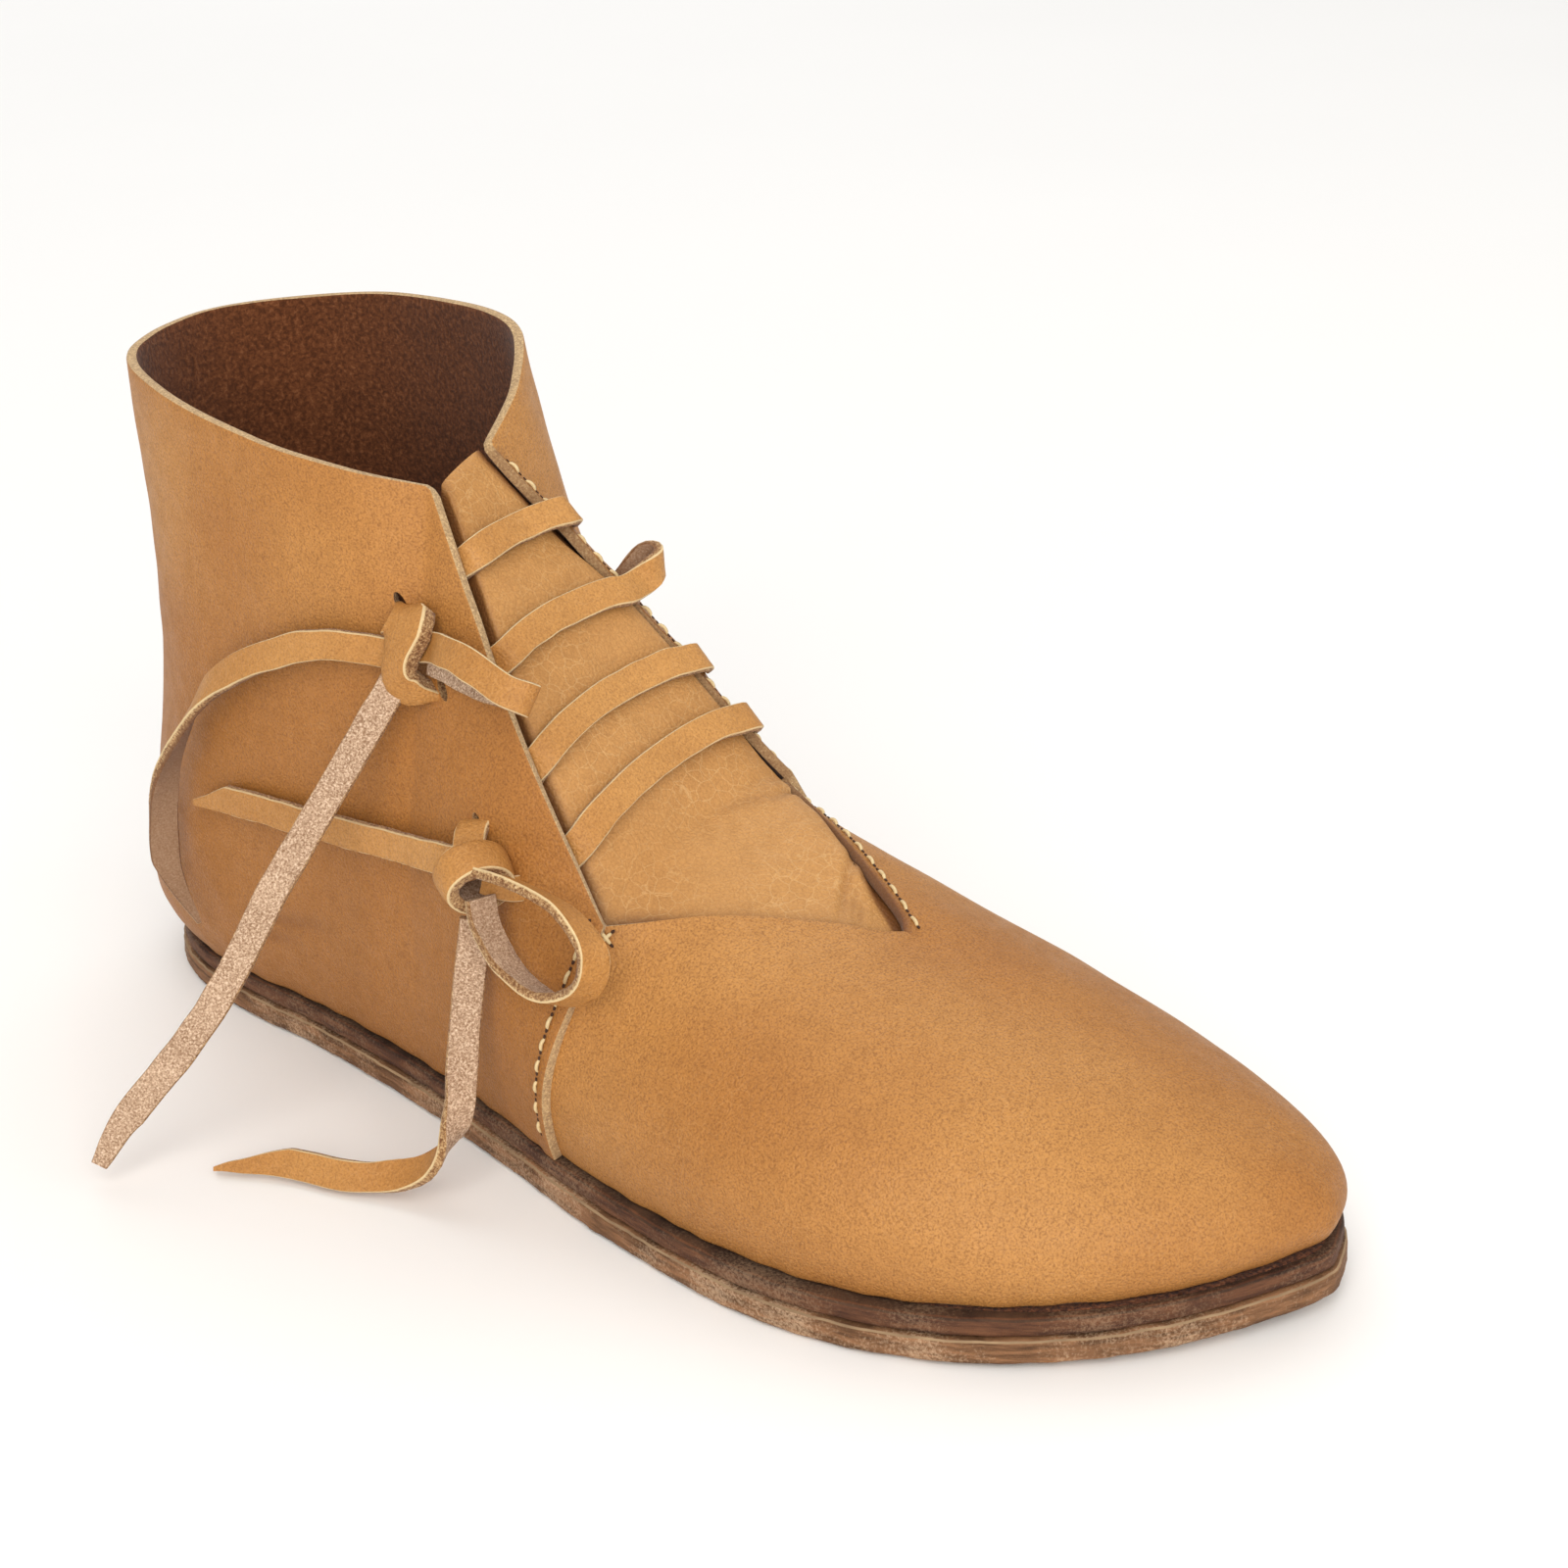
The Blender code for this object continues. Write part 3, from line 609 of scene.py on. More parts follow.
@dataclass(frozen=True)
class Wardrobe:
    """Every finish of the boot, made once."""

    grain: bpy.types.Material
    tongue_grain: bpy.types.Material
    thong_grain: bpy.types.Material
    lining: bpy.types.Material
    thong_flesh: bpy.types.Material
    edge: bpy.types.Material
    outsole: bpy.types.Material
    midsole: bpy.types.Material
    ledge: bpy.types.Material
    seam_line: bpy.types.Material
    thread: bpy.types.Material
    hole: bpy.types.Material

    @classmethod
    def build(cls) -> "Wardrobe":
        """Makes the materials from their finishes."""
        finishes = {
            "grain": GrainLeather("tan_grain_leather"),
            "tongue_grain": GrainLeather(
                "tan_tongue_leather", "C08D52", "B07C41", crack="D6AE78", pored=0.2, crack_mm=3.0,
            ),
            "thong_grain": GrainLeather("tan_thong_leather", "C28D4E", "AE773A", pored=0.35),
            "lining": FleshLeather("brown_nap_inside", "34180A", "744427", "966544", "744427", 0.9),
            "thong_flesh": FleshLeather("pale_nap_of_thong", "8A6A50", "D2B498", "EEDCC6", "D2B498", 0.42),
            "edge": FleshLeather("raw_cut_edge", "6E462A", "C09A6A", "E6D2AA", "DEC596", 0.5, 6.0),
            "outsole": SoleLeather("worn_outsole_leather", "52361F", "956A48", "D6B694", 0.5),
            "midsole": SoleLeather("stained_midsole_leather", "3C2114", "6C452C", "A68668", 0.4),
            "ledge": SoleLeather("rough_sole_ledge", "2E1C12", "573C29", "94785E", 0.5),
            "seam_line": PlainFinish("pale_line_between_layers", "B89A74", "4A3120", 7.0, 0.85),
            "thread": PlainFinish("waxed_linen_thread", "E6D2A4", "B89A66", 0.5, 0.6),
            "hole": PlainFinish("awl_hole_shadow", "4A2D1A", "2C180D", 1.0, 0.95),
        }
        return cls(**{key: finish.build() for key, finish in finishes.items()})


# The last's form, shared by every piece


@dataclass(frozen=True)
class SoleRow:
    """One row of the sole's outline: distance from the heel end and both half widths."""

    station: float
    outer: float
    inner: float


@dataclass(frozen=True)
class Rib:
    """One rib of the upper.

    It starts on the sole at a side and station and ends at top, on the opening. flare and rise are
    its first handle, out and up; belly is its middle handle, out; lead is its last handle.
    """

    name: str
    side: Side
    station: float
    top: tuple[float, float, float]
    flare: float
    rise: float
    belly: float
    lead: tuple[float, float, float]


SOLE_ROWS = (
    SoleRow(0.0, 0.0, 0.0),
    SoleRow(3.0, 16.5, 15.0),
    SoleRow(10.0, 27.5, 25.0),
    SoleRow(25.0, 35.5, 31.5),
    SoleRow(45.0, 38.5, 33.5),
    SoleRow(70.0, 39.0, 33.0),
    SoleRow(100.0, 41.5, 31.0),
    SoleRow(130.0, 46.0, 32.0),
    SoleRow(160.0, 51.5, 38.0),
    SoleRow(185.0, 54.5, 44.5),
    SoleRow(205.0, 55.0, 48.0),
    SoleRow(225.0, 51.5, 48.5),
    SoleRow(245.0, 43.0, 45.5),
    SoleRow(262.0, 30.0, 39.5),
    SoleRow(274.0, 15.5, 33.0),
    SoleRow(282.0, 1.0, 25.0),
    SoleRow(286.0, -8.5, 16.5),
    SoleRow(287.0, -12.5, 12.5),
)

RIBS = (
    Rib("heel_back", Side.OUTER, 0.0, (2, 141, 141), 18, 11, -19, (0, -5, -45)),
    Rib("heel_outer", Side.OUTER, 9.0, (-23, 132, 140), 18, 11, -18, (0, -3, -45)),
    Rib("quarter_heel", Side.OUTER, 35.0, (-36, 106, 138.5), 13, 16, -7, (-2, 0, -45)),
    Rib("quarter_mid", Side.OUTER, 68.0, (-39, 75, 135), 8, 22, -1, (-3, 0, -45)),
    Rib("quarter_front", Side.OUTER, 94.0, (-35, 51, 132), 5, 26, 1, (-5, -1, -42)),
    Rib("corner_outer", Side.OUTER, 108.0, (-26, 37, 129), 4, 26, 3, (-9, -4, -35)),
    Rib("edge_outer", Side.OUTER, 130.0, (-34, 11, 93), 4, 22, 3, (-8, -3, -24)),
    Rib("seam_outer", Side.OUTER, 153.0, (-38, -15.7, 57), 4, 16, 3, (-8, -1, -12)),
    Rib("vamp_outer", Side.OUTER, 185.0, (-22, -31, 57.5), 5, 17, 3, (-17, -6, -6)),
    Rib("ball_outer", Side.OUTER, 225.0, (-8, -45, 55), 6, 17, 2, (-26, -20, -6)),
    Rib("toe_outer", Side.OUTER, 262.0, (-2, -51.5, 53), 9, 14, 0, (-18, -40, -8)),
    Rib("toe", Side.OUTER, 287.0, (2, -54.5, 52), 13, 12, -1, (3, -46, -11)),
    Rib("toe_inner", Side.INNER, 262.0, (5, -51, 53.5), 10, 12, -3, (16, -38, -11)),
    Rib("ball_inner", Side.INNER, 225.0, (9, -42, 56.5), 5, 14, -2, (22, -20, -11)),
    Rib("vamp_inner", Side.INNER, 185.0, (15, -27, 60.5), 4, 17, 2, (16, -8, -11)),
    Rib("seam_inner", Side.INNER, 152.0, (21, -9, 63.5), 4, 16, 3, (9, -1, -14)),
    Rib("edge_inner", Side.INNER, 128.0, (9, 14, 96), 3, 22, 7, (18, -2, -18)),
    Rib("corner_inner", Side.INNER, 106.0, (-7, 40, 132), 3, 26, 9, (24, -3, -26)),
    Rib("collar_front", Side.INNER, 87.0, (11, 49, 140), 4, 26, 6, (14, -3, -38)),
    Rib("collar_inner", Side.INNER, 64.0, (28, 70, 145), 8, 22, 1, (5, 0, -45)),
    Rib("collar_heel", Side.INNER, 35.0, (32, 106, 144), 13, 16, -7, (2, 0, -45)),
    Rib("heel_inner", Side.INNER, 9.0, (23, 132, 141.5), 18, 11, -18, (0, -3, -45)),
)
RIB_COUNT = len(RIBS)
RIB_NUMBER = {rib.name: number for number, rib in enumerate(RIBS)}
SEAM_OUTER = RIB_NUMBER["seam_outer"]
SEAM_INNER = RIB_NUMBER["seam_inner"]
TOE_RIB = RIB_NUMBER["toe"]
CORNERS = [
    RIB_NUMBER[name] for name in ("corner_outer", "seam_outer", "toe", "seam_inner", "corner_inner")
]


@dataclass
class BootForm:
    """Outer face of the boot as a function of two numbers, rib and share.

    rib counts round the boot from the heel by the outer side, the toe and the inner side. share
    runs from 0 at the sole to 1 at the opening.
    """

    sole_length: float = 287.0
    outsole_thick: float = 5.0
    midsole_thick: float = 3.7
    layer_gap: float = 0.3
    midsole_inset: float = 0.7
    toe_spring: float = 3.0
    spring_from_y: float = -72.0
    wall: float = 2.2
    lap: float = 1.9
    lap_fade: float = 0.55
    seat_gap: float = 0.5
    inset_heel: float = 2.0
    inset_toe: float = 3.6
    tongue_gap: float = 0.4
    tongue_drop_outer: float = 2.5
    tongue_crown: float = 0.55
    tongue_swell: float = 2.4
    throat_share: float = 0.6
    inset_from_y: float = 40.0
    inset_over: float = 120.0
    outline_step: float = 3.0
    rib_step: float = 0.04
    share_step: float = 0.02
    arch_step: Span = (0.01, 0.02)
    edge_share: float = 0.96
    fine_steps: int = 600
    share_steps: int = 160
    outline: Array = field(init=False)
    outline_travel: Array = field(init=False)
    rib_travel: Array = field(init=False)
    rib_top: Array = field(init=False)
    rib_handles: Array = field(init=False)

    def __post_init__(self) -> None:
        """Works out the sole's outline, where each rib stands on it, and the ribs' handles."""
        outer, inner = self.side_line(Side.OUTER), self.side_line(Side.INNER)
        self.outline = np.concatenate([outer, inner[::-1][1:]])
        self.outline_travel = travel(self.outline)
        self.rib_travel = np.array([self.reach(rib.side, rib.station) for rib in RIBS] + [self.round])
        self.rib_top = np.array([rib.top for rib in RIBS], float)
        self.rib_handles = np.array([(r.flare, r.rise, r.belly, *r.lead) for r in RIBS], float)

    @property
    def heel_y(self) -> float:
        """Place of the heel end along the foot."""
        return self.sole_length / 2

    @property
    def sole_top(self) -> float:
        """Height of the midsole's upper side."""
        return self.outsole_thick + self.layer_gap + self.midsole_thick

    @property
    def round(self) -> float:
        """Distance once round the sole."""
        return float(self.outline_travel[-1])

    def side_line(self, side: Side) -> Array:
        """Fine points along one side of the sole's outline, from heel to toe."""
        rows = np.array([(row.station, row.outer, row.inner) for row in SOLE_ROWS])
        half = rows[:, 1] if side == Side.OUTER else rows[:, 2]
        points = np.stack([side * half, self.heel_y - rows[:, 0]], axis=1)
        return spline(points, np.linspace(0, len(rows) - 1, self.fine_steps))

    def reach(self, side: Side, station: float) -> float:
        """Distance round the outline at which a side reaches a station."""
        line = self.side_line(side)
        passed = float(np.interp(station, self.heel_y - line[:, 1], travel(line)))
        return passed if side == Side.OUTER else self.round - passed

    def spring(self, y: Array) -> Array:
        """Lift of the sole: it grows as the square of the way from the ball to the toe."""
        share = np.clip((self.spring_from_y - y) / (self.heel_y + self.spring_from_y), 0, 1)
        return self.toe_spring * share ** 2

    def outline_at(self, distance: Array) -> tuple[Array, Array]:
        """Point of the outline and its outward direction, by distance round it from the heel."""

        def place(passed: Array) -> Array:
            """Point of the outline after a distance."""
            passed = np.mod(passed, self.round)
            columns = [np.interp(passed, self.outline_travel, self.outline[:, k]) for k in range(2)]
            return np.stack(columns, axis=-1)

        distance = np.asarray(distance)
        ahead = unit(place(distance + self.outline_step) - place(distance - self.outline_step))
        return place(distance), np.stack([ahead[..., 1], -ahead[..., 0]], axis=-1)

    def outer_face(self, rib: Any, share: Any) -> Array:
        """Point of the outer face: a Bezier curve of five handles along each rib.

        The handles are the sole edge, a point out and up from it, the belly, a point back along
        the lead from the opening, and the opening. They run smoothly from rib to rib, and the
        opening has corners at the ends of the throat.

        Args:
            rib: rib numbers, whole or between.
            share: shares along the ribs.

        Returns:
            Points in millimetres.
        """
        rib, share = np.broadcast_arrays(np.asarray(rib, float), np.asarray(share, float))
        number = np.mod(rib, RIB_COUNT)
        edge, outward = self.outline_at(np.interp(number, np.arange(RIB_COUNT + 1), self.rib_travel))
        forward = np.clip((self.inset_from_y - edge[..., 1]) / self.inset_over, 0, 1)[..., None]
        foot = edge - outward * (self.inset_heel + (self.inset_toe - self.inset_heel) * forward)
        base = self.sole_top + self.seat_gap + self.spring(foot[..., 1])
        first = np.concatenate([foot, base[..., None]], axis=-1)
        out = np.concatenate([outward, np.zeros(outward.shape[:-1] + (1,))], axis=-1)
        handles = looped(self.rib_handles, number)
        second = first + out * handles[..., 0:1] + np.array([0.0, 0.0, 1.0]) * handles[..., 1:2]
        last = cornered(self.rib_top, CORNERS, number)
        fourth = last + handles[..., 3:6]
        third = (second + fourth) / 2 + out * handles[..., 2:3]
        s = share[..., None]
        t = 1 - s
        point = first * t ** 4 + 4 * second * t ** 3 * s + 6 * third * t ** 2 * s ** 2
        return point + 4 * fourth * t * s ** 3 + last * s ** 4

    def face_normal(self, rib: Any, share: Any) -> Array:
        """Outward direction of the outer face, from its slopes along and across the ribs."""
        rib, share = np.broadcast_arrays(np.asarray(rib, float), np.asarray(share, float))
        beside, above = self.rib_step, self.share_step
        held = np.clip(share, above, 1 - above)
        across = self.outer_face(rib + beside, held) - self.outer_face(rib - beside, held)
        upward = self.outer_face(rib, held + above) - self.outer_face(rib, held - above)
        return unit(np.cross(across, upward))

    def share_below(self, ribs: Array, below: Array) -> Array:
        """Share along each rib at distances below the opening.

        Args:
            ribs: one rib for each row.
            below: distances, one row for each rib or one row for all.

        Returns:
            Shares, a row for each rib.
        """
        steps = np.linspace(0, 1, self.share_steps)
        lines = self.outer_face(ribs[:, None], steps[None, :])
        below = np.broadcast_to(below, (len(ribs), np.shape(below)[-1]))
        passed = [travel(line) for line in lines]
        return np.stack([np.interp(p[-1] - gap, p, steps) for p, gap in zip(passed, below)])

    def quarter_at(self, side: Side, y: float, z: float) -> tuple[float, float]:
        """Rib and share of a quarter at a place along the foot and a height, by Newton's steps."""
        middle = RIB_NUMBER["corner_outer" if side == Side.OUTER else "corner_inner"]
        ribs, shares = np.meshgrid(np.linspace(middle - 3, middle + 3, 80), np.linspace(0.2, 1, 60))
        found = self.outer_face(ribs, shares)
        best = np.argmin((found[..., 1] - y) ** 2 + (found[..., 2] - z) ** 2)
        place = np.array([ribs.flat[best], shares.flat[best]])
        nudge, longest, rounds = 0.01, 0.2, 5
        for _ in range(rounds):
            here = self.outer_face(*place)[1:]
            by_rib = (self.outer_face(place[0] + nudge, place[1])[1:] - here) / nudge
            by_share = (self.outer_face(place[0], place[1] - nudge)[1:] - here) / -nudge
            step = np.linalg.solve(np.stack([by_rib, by_share], axis=1), np.array([y, z]) - here)
            place = place + np.clip(step, -longest, longest)
            place[1] = min(place[1], 1.0)
        return float(place[0]), float(place[1])

    def lap_at(self, rib: Any) -> Array:
        """Rise of the quarters over the vamp: most at the side seams and fading behind them."""
        rib = np.mod(rib, RIB_COUNT)
        behind = np.maximum(SEAM_OUTER - rib, rib - SEAM_INNER)
        return np.where(behind > -1e-6, self.lap * np.exp(-np.maximum(behind, 0) / self.lap_fade), 0.0)

    def edge_rib(self, side: Side, down: Any) -> Array:
        """Rib that meets a front edge of the throat, from 0 at the collar to 1 at the seam."""
        if side == Side.OUTER:
            return RIB_NUMBER["corner_outer"] + 2 * np.asarray(down, float)
        return RIB_NUMBER["corner_inner"] - 2 * np.asarray(down, float)

    def throat_ribs(self, place: Array) -> tuple[Array, Array]:
        """Ribs on both sides of the throat, from 0 at the collar by the seams to 1 at its point."""
        down = np.clip(place / self.throat_share, 0, 1)
        ahead = np.clip((place - self.throat_share) / (1 - self.throat_share), 0, 1)
        outer = self.edge_rib(Side.OUTER, down) + ahead * (TOE_RIB - SEAM_OUTER)
        return outer, self.edge_rib(Side.INNER, down) - ahead * (SEAM_INNER - TOE_RIB)

    def tongue_drop(self, place: Array) -> tuple[Array, float]:
        """Depth of the tongue under the outer face, at the outer and inner edge of the throat."""
        near = self.wall + self.tongue_gap
        deep = (self.tongue_drop_outer - self.tongue_gap) * (1 - ease((place - 0.55) / 0.3))
        return near + deep, near

    def inner_swell(self, place: Any, across: Any) -> Array:
        """Bulge of the tongue beside the throat's inner edge.

        It grows over the middle, holds and falls to nothing at the edge, and it fades towards the
        collar and the throat's point.

        Args:
            place: way down the throat.
            across: way over the tongue.

        Returns:
            Heights in millimetres.
        """
        place, across = np.broadcast_arrays(np.asarray(place, float), np.asarray(across, float))
        grown = ease((across - 0.55) / 0.3) * (1 - ease((across - 0.92) / 0.08))
        return self.tongue_swell * grown * ease((place - 0.12) / 0.15) * (1 - ease((place - 0.66) / 0.2))

    def throat_arc(self, place: Any, across: Any) -> Array:
        """Point over the throat: an arch that leaves both edges along the quarters, under their faces.

        It is flatter towards the collar.

        Args:
            place: way down the throat, from 0 at the collar to 1 at its point.
            across: way over the tongue, from 0 at the outer edge to 1 at the inner edge.

        Returns:
            Points in millimetres.
        """
        place, across = np.broadcast_arrays(np.asarray(place, float), np.asarray(across, float))
        rib_outer, rib_inner = self.throat_ribs(place)
        drop_outer, drop_inner = self.tongue_drop(place)
        start = self.outer_face(rib_outer, 1.0)
        end = self.outer_face(rib_inner, 1.0)
        leave = unit(start - self.outer_face(rib_outer, self.edge_share))
        arrive = unit(self.outer_face(rib_inner, self.edge_share) - end)
        start = start - drop_outer[..., None] * self.face_normal(rib_outer, 1.0)
        end = end - drop_inner * self.face_normal(rib_inner, 1.0)
        crown = self.tongue_crown * (0.35 + 0.65 * ease(place / 0.2))
        reach = crown[..., None] * np.linalg.norm(end - start, axis=-1, keepdims=True)
        s = across[..., None]
        arch = start * (2 * s ** 3 - 3 * s ** 2 + 1) + end * (3 * s ** 2 - 2 * s ** 3)
        return arch + leave * reach * (s ** 3 - 2 * s ** 2 + s) + arrive * reach * (s ** 3 - s ** 2)

    def throat_normal(self, place: Any, across: Any) -> Array:
        """Outward direction of the arch."""
        place, across = np.broadcast_arrays(np.asarray(place, float), np.asarray(across, float))
        below, beside = self.arch_step
        sideways = self.throat_arc(place, across + beside) - self.throat_arc(place, across - beside)
        downward = self.throat_arc(place + below, across) - self.throat_arc(place - below, across)
        return unit(np.cross(downward, sideways))


# Upper


@dataclass(frozen=True)
class Crease:
    """A soft trough in the leather along a line of places, with a low ridge on each side."""

    line: tuple[tuple[float, float, float], ...]
    depth: float
    width: float
    ridge: float = 0.35

    def relief(self, points: Array) -> tuple[Array, Array]:
        """Height of the crease at some points, and how deep in it they are.

        The trough is depth * exp(-(d / width)^2) at distance d from the line, the ridges are the
        same bell moved out by 2.1 widths, and both fade towards the ends of the line.

        Args:
            points: places in millimetres.

        Returns:
            Heights in millimetres, and shares from 0 outside to 1 at the bottom.
        """
        gap, along = distance_to(points, self.line)
        fade = np.sqrt(np.clip(np.sin(math.pi * np.clip(along, 0.03, 0.97)), 0, 1))
        trough = np.exp(-(gap / self.width) ** 2) * fade
        bank = np.exp(-((gap - 2.1 * self.width) / self.width) ** 2) * fade
        return self.depth * (self.ridge * bank - trough), trough


def creased(points: Array, creases: Sequence[Crease]) -> tuple[Array, Array]:
    """Sum of the creases' heights at some points, and the deepest share among them."""
    height = np.zeros(points.shape[:-1])
    deep = np.zeros(points.shape[:-1])
    for crease in creases:
        rise, share = crease.relief(points)
        height += rise
        deep = np.maximum(deep, share)
    return height, deep


@dataclass(frozen=True)
class LaceRow:
    """One crossing of the lacing.

    outer_share and inner_share tell how far down each front edge it crosses; outer_y to inner_z
    are the places along the foot and the heights of its two slits. turned_back tells whether the
    thong turns back on itself before it goes in by the inner slit.
    """

    outer_share: float
    inner_share: float
    outer_y: float
    outer_z: float
    inner_y: float
    inner_z: float
    turned_back: bool = False

    def slit(self, side: Side) -> Array:
        """Place along the foot and height of the slit on one side."""
        return np.array([self.outer_y, self.outer_z] if side == Side.OUTER else [self.inner_y, self.inner_z])


LACE_ROWS = (
    LaceRow(0.17, 0.21, 39.0, 107.0, 35.0, 114.0),
    LaceRow(0.40, 0.43, 26.7, 93.2, 24.0, 101.0, turned_back=True),
    LaceRow(0.63, 0.64, 13.1, 70.6, 15.0, 83.0),
    LaceRow(0.83, 0.83, 1.4, 61.5, 6.0, 70.5),
)


@dataclass(frozen=True)
class Slit:
    """Cut in a quarter for the lacing: its centre, outward normal, and directions along and across."""

    centre: Array
    normal: Array
    along: Array
    across: Array


@dataclass
class Upper:
    """Vamp and quarters: two cut sheets, lapped and sewn at the side seams."""

    form: BootForm
    wardrobe: Wardrobe
    pitch: float = 1.35
    rows: int = 88
    edge_round: float = 0.45
    seam_lap: float = 0.02
    slit_long: float = 5.2
    slit_wide: float = 2.1
    slit_deep: float = 12.0
    slit_swell: float = 0.55
    slit_swell_wide: float = 6.0
    uneven: tuple[Swell, ...] = (Swell(0.32, 42.0, 3), Swell(0.10, 15.0, 5))
    pull: float = 0.16
    pull_pitch: float = 11.0
    pull_fade: float = 4.5
    pull_shift: Swell = Swell(1.6, 26.0, 8)
    low_fade: float = 14.0
    # How far up the broad painted shade above the sole fades
    shade_fade: float = 26.0
    # Painted shade in the tone of the quarters below a height, fading over a span upwards
    quarter_shade_tone: float = 0.45
    quarter_shade_below: float = 70.0
    quarter_shade_over: float = 45.0
    tone_drift: Swell = Swell(0.05, 60.0, 12)
    crackle_drift: Swell = Swell(0.15, 30.0, 14)
    edge_pale: float = 0.3
    creases: tuple[Crease, ...] = (
        Crease(((-41.8, 90.3, 28.5), (-41.5, 76.0, 30.6), (-41.5, 63.0, 33.2)), 0.32, 1.9),
        Crease(((-40.9, 94.6, 21.5), (-41.2, 84.0, 24.5), (-40.9, 74.2, 26.5)), 0.25, 1.7),
    )

    def columns(self, first: float, last: float) -> Array:
        """Rib places from first to last, about one pitch apart at the longer of sole and opening."""
        rib = np.linspace(first, last, 2400)
        steps = [
            np.linalg.norm(np.diff(self.form.outer_face(rib, share), axis=0), axis=1)
            for share in (0.0, 1.0)
        ]
        passed = np.concatenate([[0.0], np.cumsum(np.maximum(*steps))])
        count = int(passed[-1] / self.pitch)
        return np.interp(np.linspace(0, passed[-1], count), passed, rib)

    def relief(self, rib: Array, points: Array) -> tuple[Array, Array]:
        """Height of the leather over its plain form, and its painted shade.

        It adds a slow unevenness, the creases, the pull of the lasting stitches near the sole,
        which is a cosine along the sole that fades upwards, and a swelling at each lace slit.

        Args:
            rib: rib numbers of the points.
            points: their places.

        Returns:
            Heights in millimetres and painted shades from 0 to 1.
        """
        height, deep = creased(points, self.creases)
        height += sum(swell.at(points) for swell in self.uneven)
        passed = np.interp(np.mod(rib, RIB_COUNT), np.arange(RIB_COUNT + 1), self.form.rib_travel)
        lift = np.maximum(points[..., 2] - self.form.sole_top, 0)
        near = np.exp(-lift / self.pull_fade)
        turn = 2 * math.pi * passed / self.pull_pitch + self.pull_shift.at(points)
        height += self.pull * near * np.cos(turn)
        for slit in self.slits():
            gap = np.linalg.norm(points - slit.centre, axis=-1)
            height += self.slit_swell * np.exp(-(gap / self.slit_swell_wide) ** 2)
        # Painted shade: darker just above the sole, over a broad fade upwards, and in the creases
        shade = 0.26 * near + 0.09 * np.exp(-lift / self.shade_fade) + 0.30 * deep
        return height, np.clip(shade, 0, 1)

    def darkened_inner_edge(self, rib: Array, share: Array) -> Array:
        """Darkening of the throat's inner cut edge, from 0 to 1, most by its point."""
        number = np.mod(rib, RIB_COUNT)
        front = (number > TOE_RIB + 0.05) & (number < RIB_NUMBER["corner_inner"] - 0.02)
        darkness = 0.9 - 0.4 * ease((number - SEAM_INNER + 1) / 1.5)
        return darkness * front * ease((share - 0.985) / 0.01)

    def slits(self) -> list[Slit]:
        """The lace slits, outer and inner in turn, each along its front edge of the throat."""
        form = self.form
        found = []
        for row in LACE_ROWS:
            for side in (Side.OUTER, Side.INNER):
                place = form.quarter_at(side, *row.slit(side))
                normal = form.face_normal(*place)
                middle = form.edge_rib(side, 0.5)
                edge = form.outer_face(middle, 1.0) - form.outer_face(middle - 0.1, 1.0)
                along = unit(edge - normal * np.dot(edge, normal))
                found.append(Slit(form.outer_face(*place), normal, along, np.cross(normal, along)))
        return found

    def slit_cutter(self) -> bpy.types.Object:
        """Closed elliptic prisms through the wall, one at each slit."""
        turn = np.linspace(0, 2 * math.pi, 28, endpoint=False)[:, None]
        points, faces = [], []
        for slit in self.slits():
            ring = slit.centre + slit.along * np.cos(turn) * self.slit_long / 2
            ring = ring + slit.across * np.sin(turn) * self.slit_wide / 2
            deep = slit.normal * self.slit_deep / 2
            faces.extend(tube_faces(2, len(turn), len(points) * len(turn)))
            points.extend([ring - deep, ring + deep])
        return add_mesh("slit_cutter", np.concatenate(points), faces, [self.wardrobe.edge])

    def sheet(self, name: str, first: float, last: float, lapped: bool) -> bpy.types.Object:
        """One cut sheet of the upper as a closed wall with rounded cut edges.

        Args:
            name: name of the piece.
            first: rib where the sheet starts.
            last: rib where it ends.
            lapped: whether it rises over its neighbour at both ends.

        Returns:
            The new object, with its wall still to be settled.
        """
        rib, share = np.meshgrid(self.columns(first, last), np.linspace(0, 1, self.rows))
        plain = self.form.outer_face(rib, share)
        normal = self.form.face_normal(rib, share)
        height, shade = self.relief(rib, plain)
        rise = self.form.lap_at(rib) if lapped else np.zeros_like(rib)
        points = plain + normal * (height + rise)[..., None]
        low = np.exp(-np.maximum(plain[..., 2] - self.form.sole_top, 0) / self.low_fade)
        # Painted shade: the tone deepens just above the sole and on the lower quarters; the drift is random
        quarter_shade = self.quarter_shade_tone * lapped * (1 - ease((plain[..., 2] - self.quarter_shade_below) / self.quarter_shade_over))
        tones = {
            "tone": 0.10 * low + quarter_shade + self.tone_drift.at(plain),
            "shade": np.maximum(shade, self.darkened_inner_edge(rib, share)),
            "pale": np.full(rib.shape, self.edge_pale),
            "crackle": np.clip(0.05 + 0.25 * low + self.crackle_drift.at(plain), 0, 0.3),
        }
        materials = [self.wardrobe.grain, self.wardrobe.lining, self.wardrobe.edge]
        piece = add_mesh(name, points, grid_faces(*rib.shape), materials, tones=tones)
        thicken(piece, self.form.wall, self.edge_round)
        return piece

    def build(self) -> None:
        """Makes both sheets, cuts the slits in the quarters and dresses them."""
        vamp = self.sheet("vamp", SEAM_OUTER - self.seam_lap, SEAM_INNER + self.seam_lap, lapped=False)
        settle(vamp)
        on_boot(vamp, "upper", "upper")
        quarters = self.sheet("quarters", SEAM_INNER, SEAM_OUTER + RIB_COUNT, lapped=True)
        cutter = self.slit_cutter()
        cut = quarters.modifiers.new("slits", "BOOLEAN")
        cut.operation = "DIFFERENCE"
        cut.solver = "EXACT"
        cut.material_mode = "TRANSFER"
        cut.object = cutter
        settle(quarters)
        bpy.data.objects.remove(cutter, do_unlink=True)
        on_boot(quarters, "upper", "upper")


# Tongue


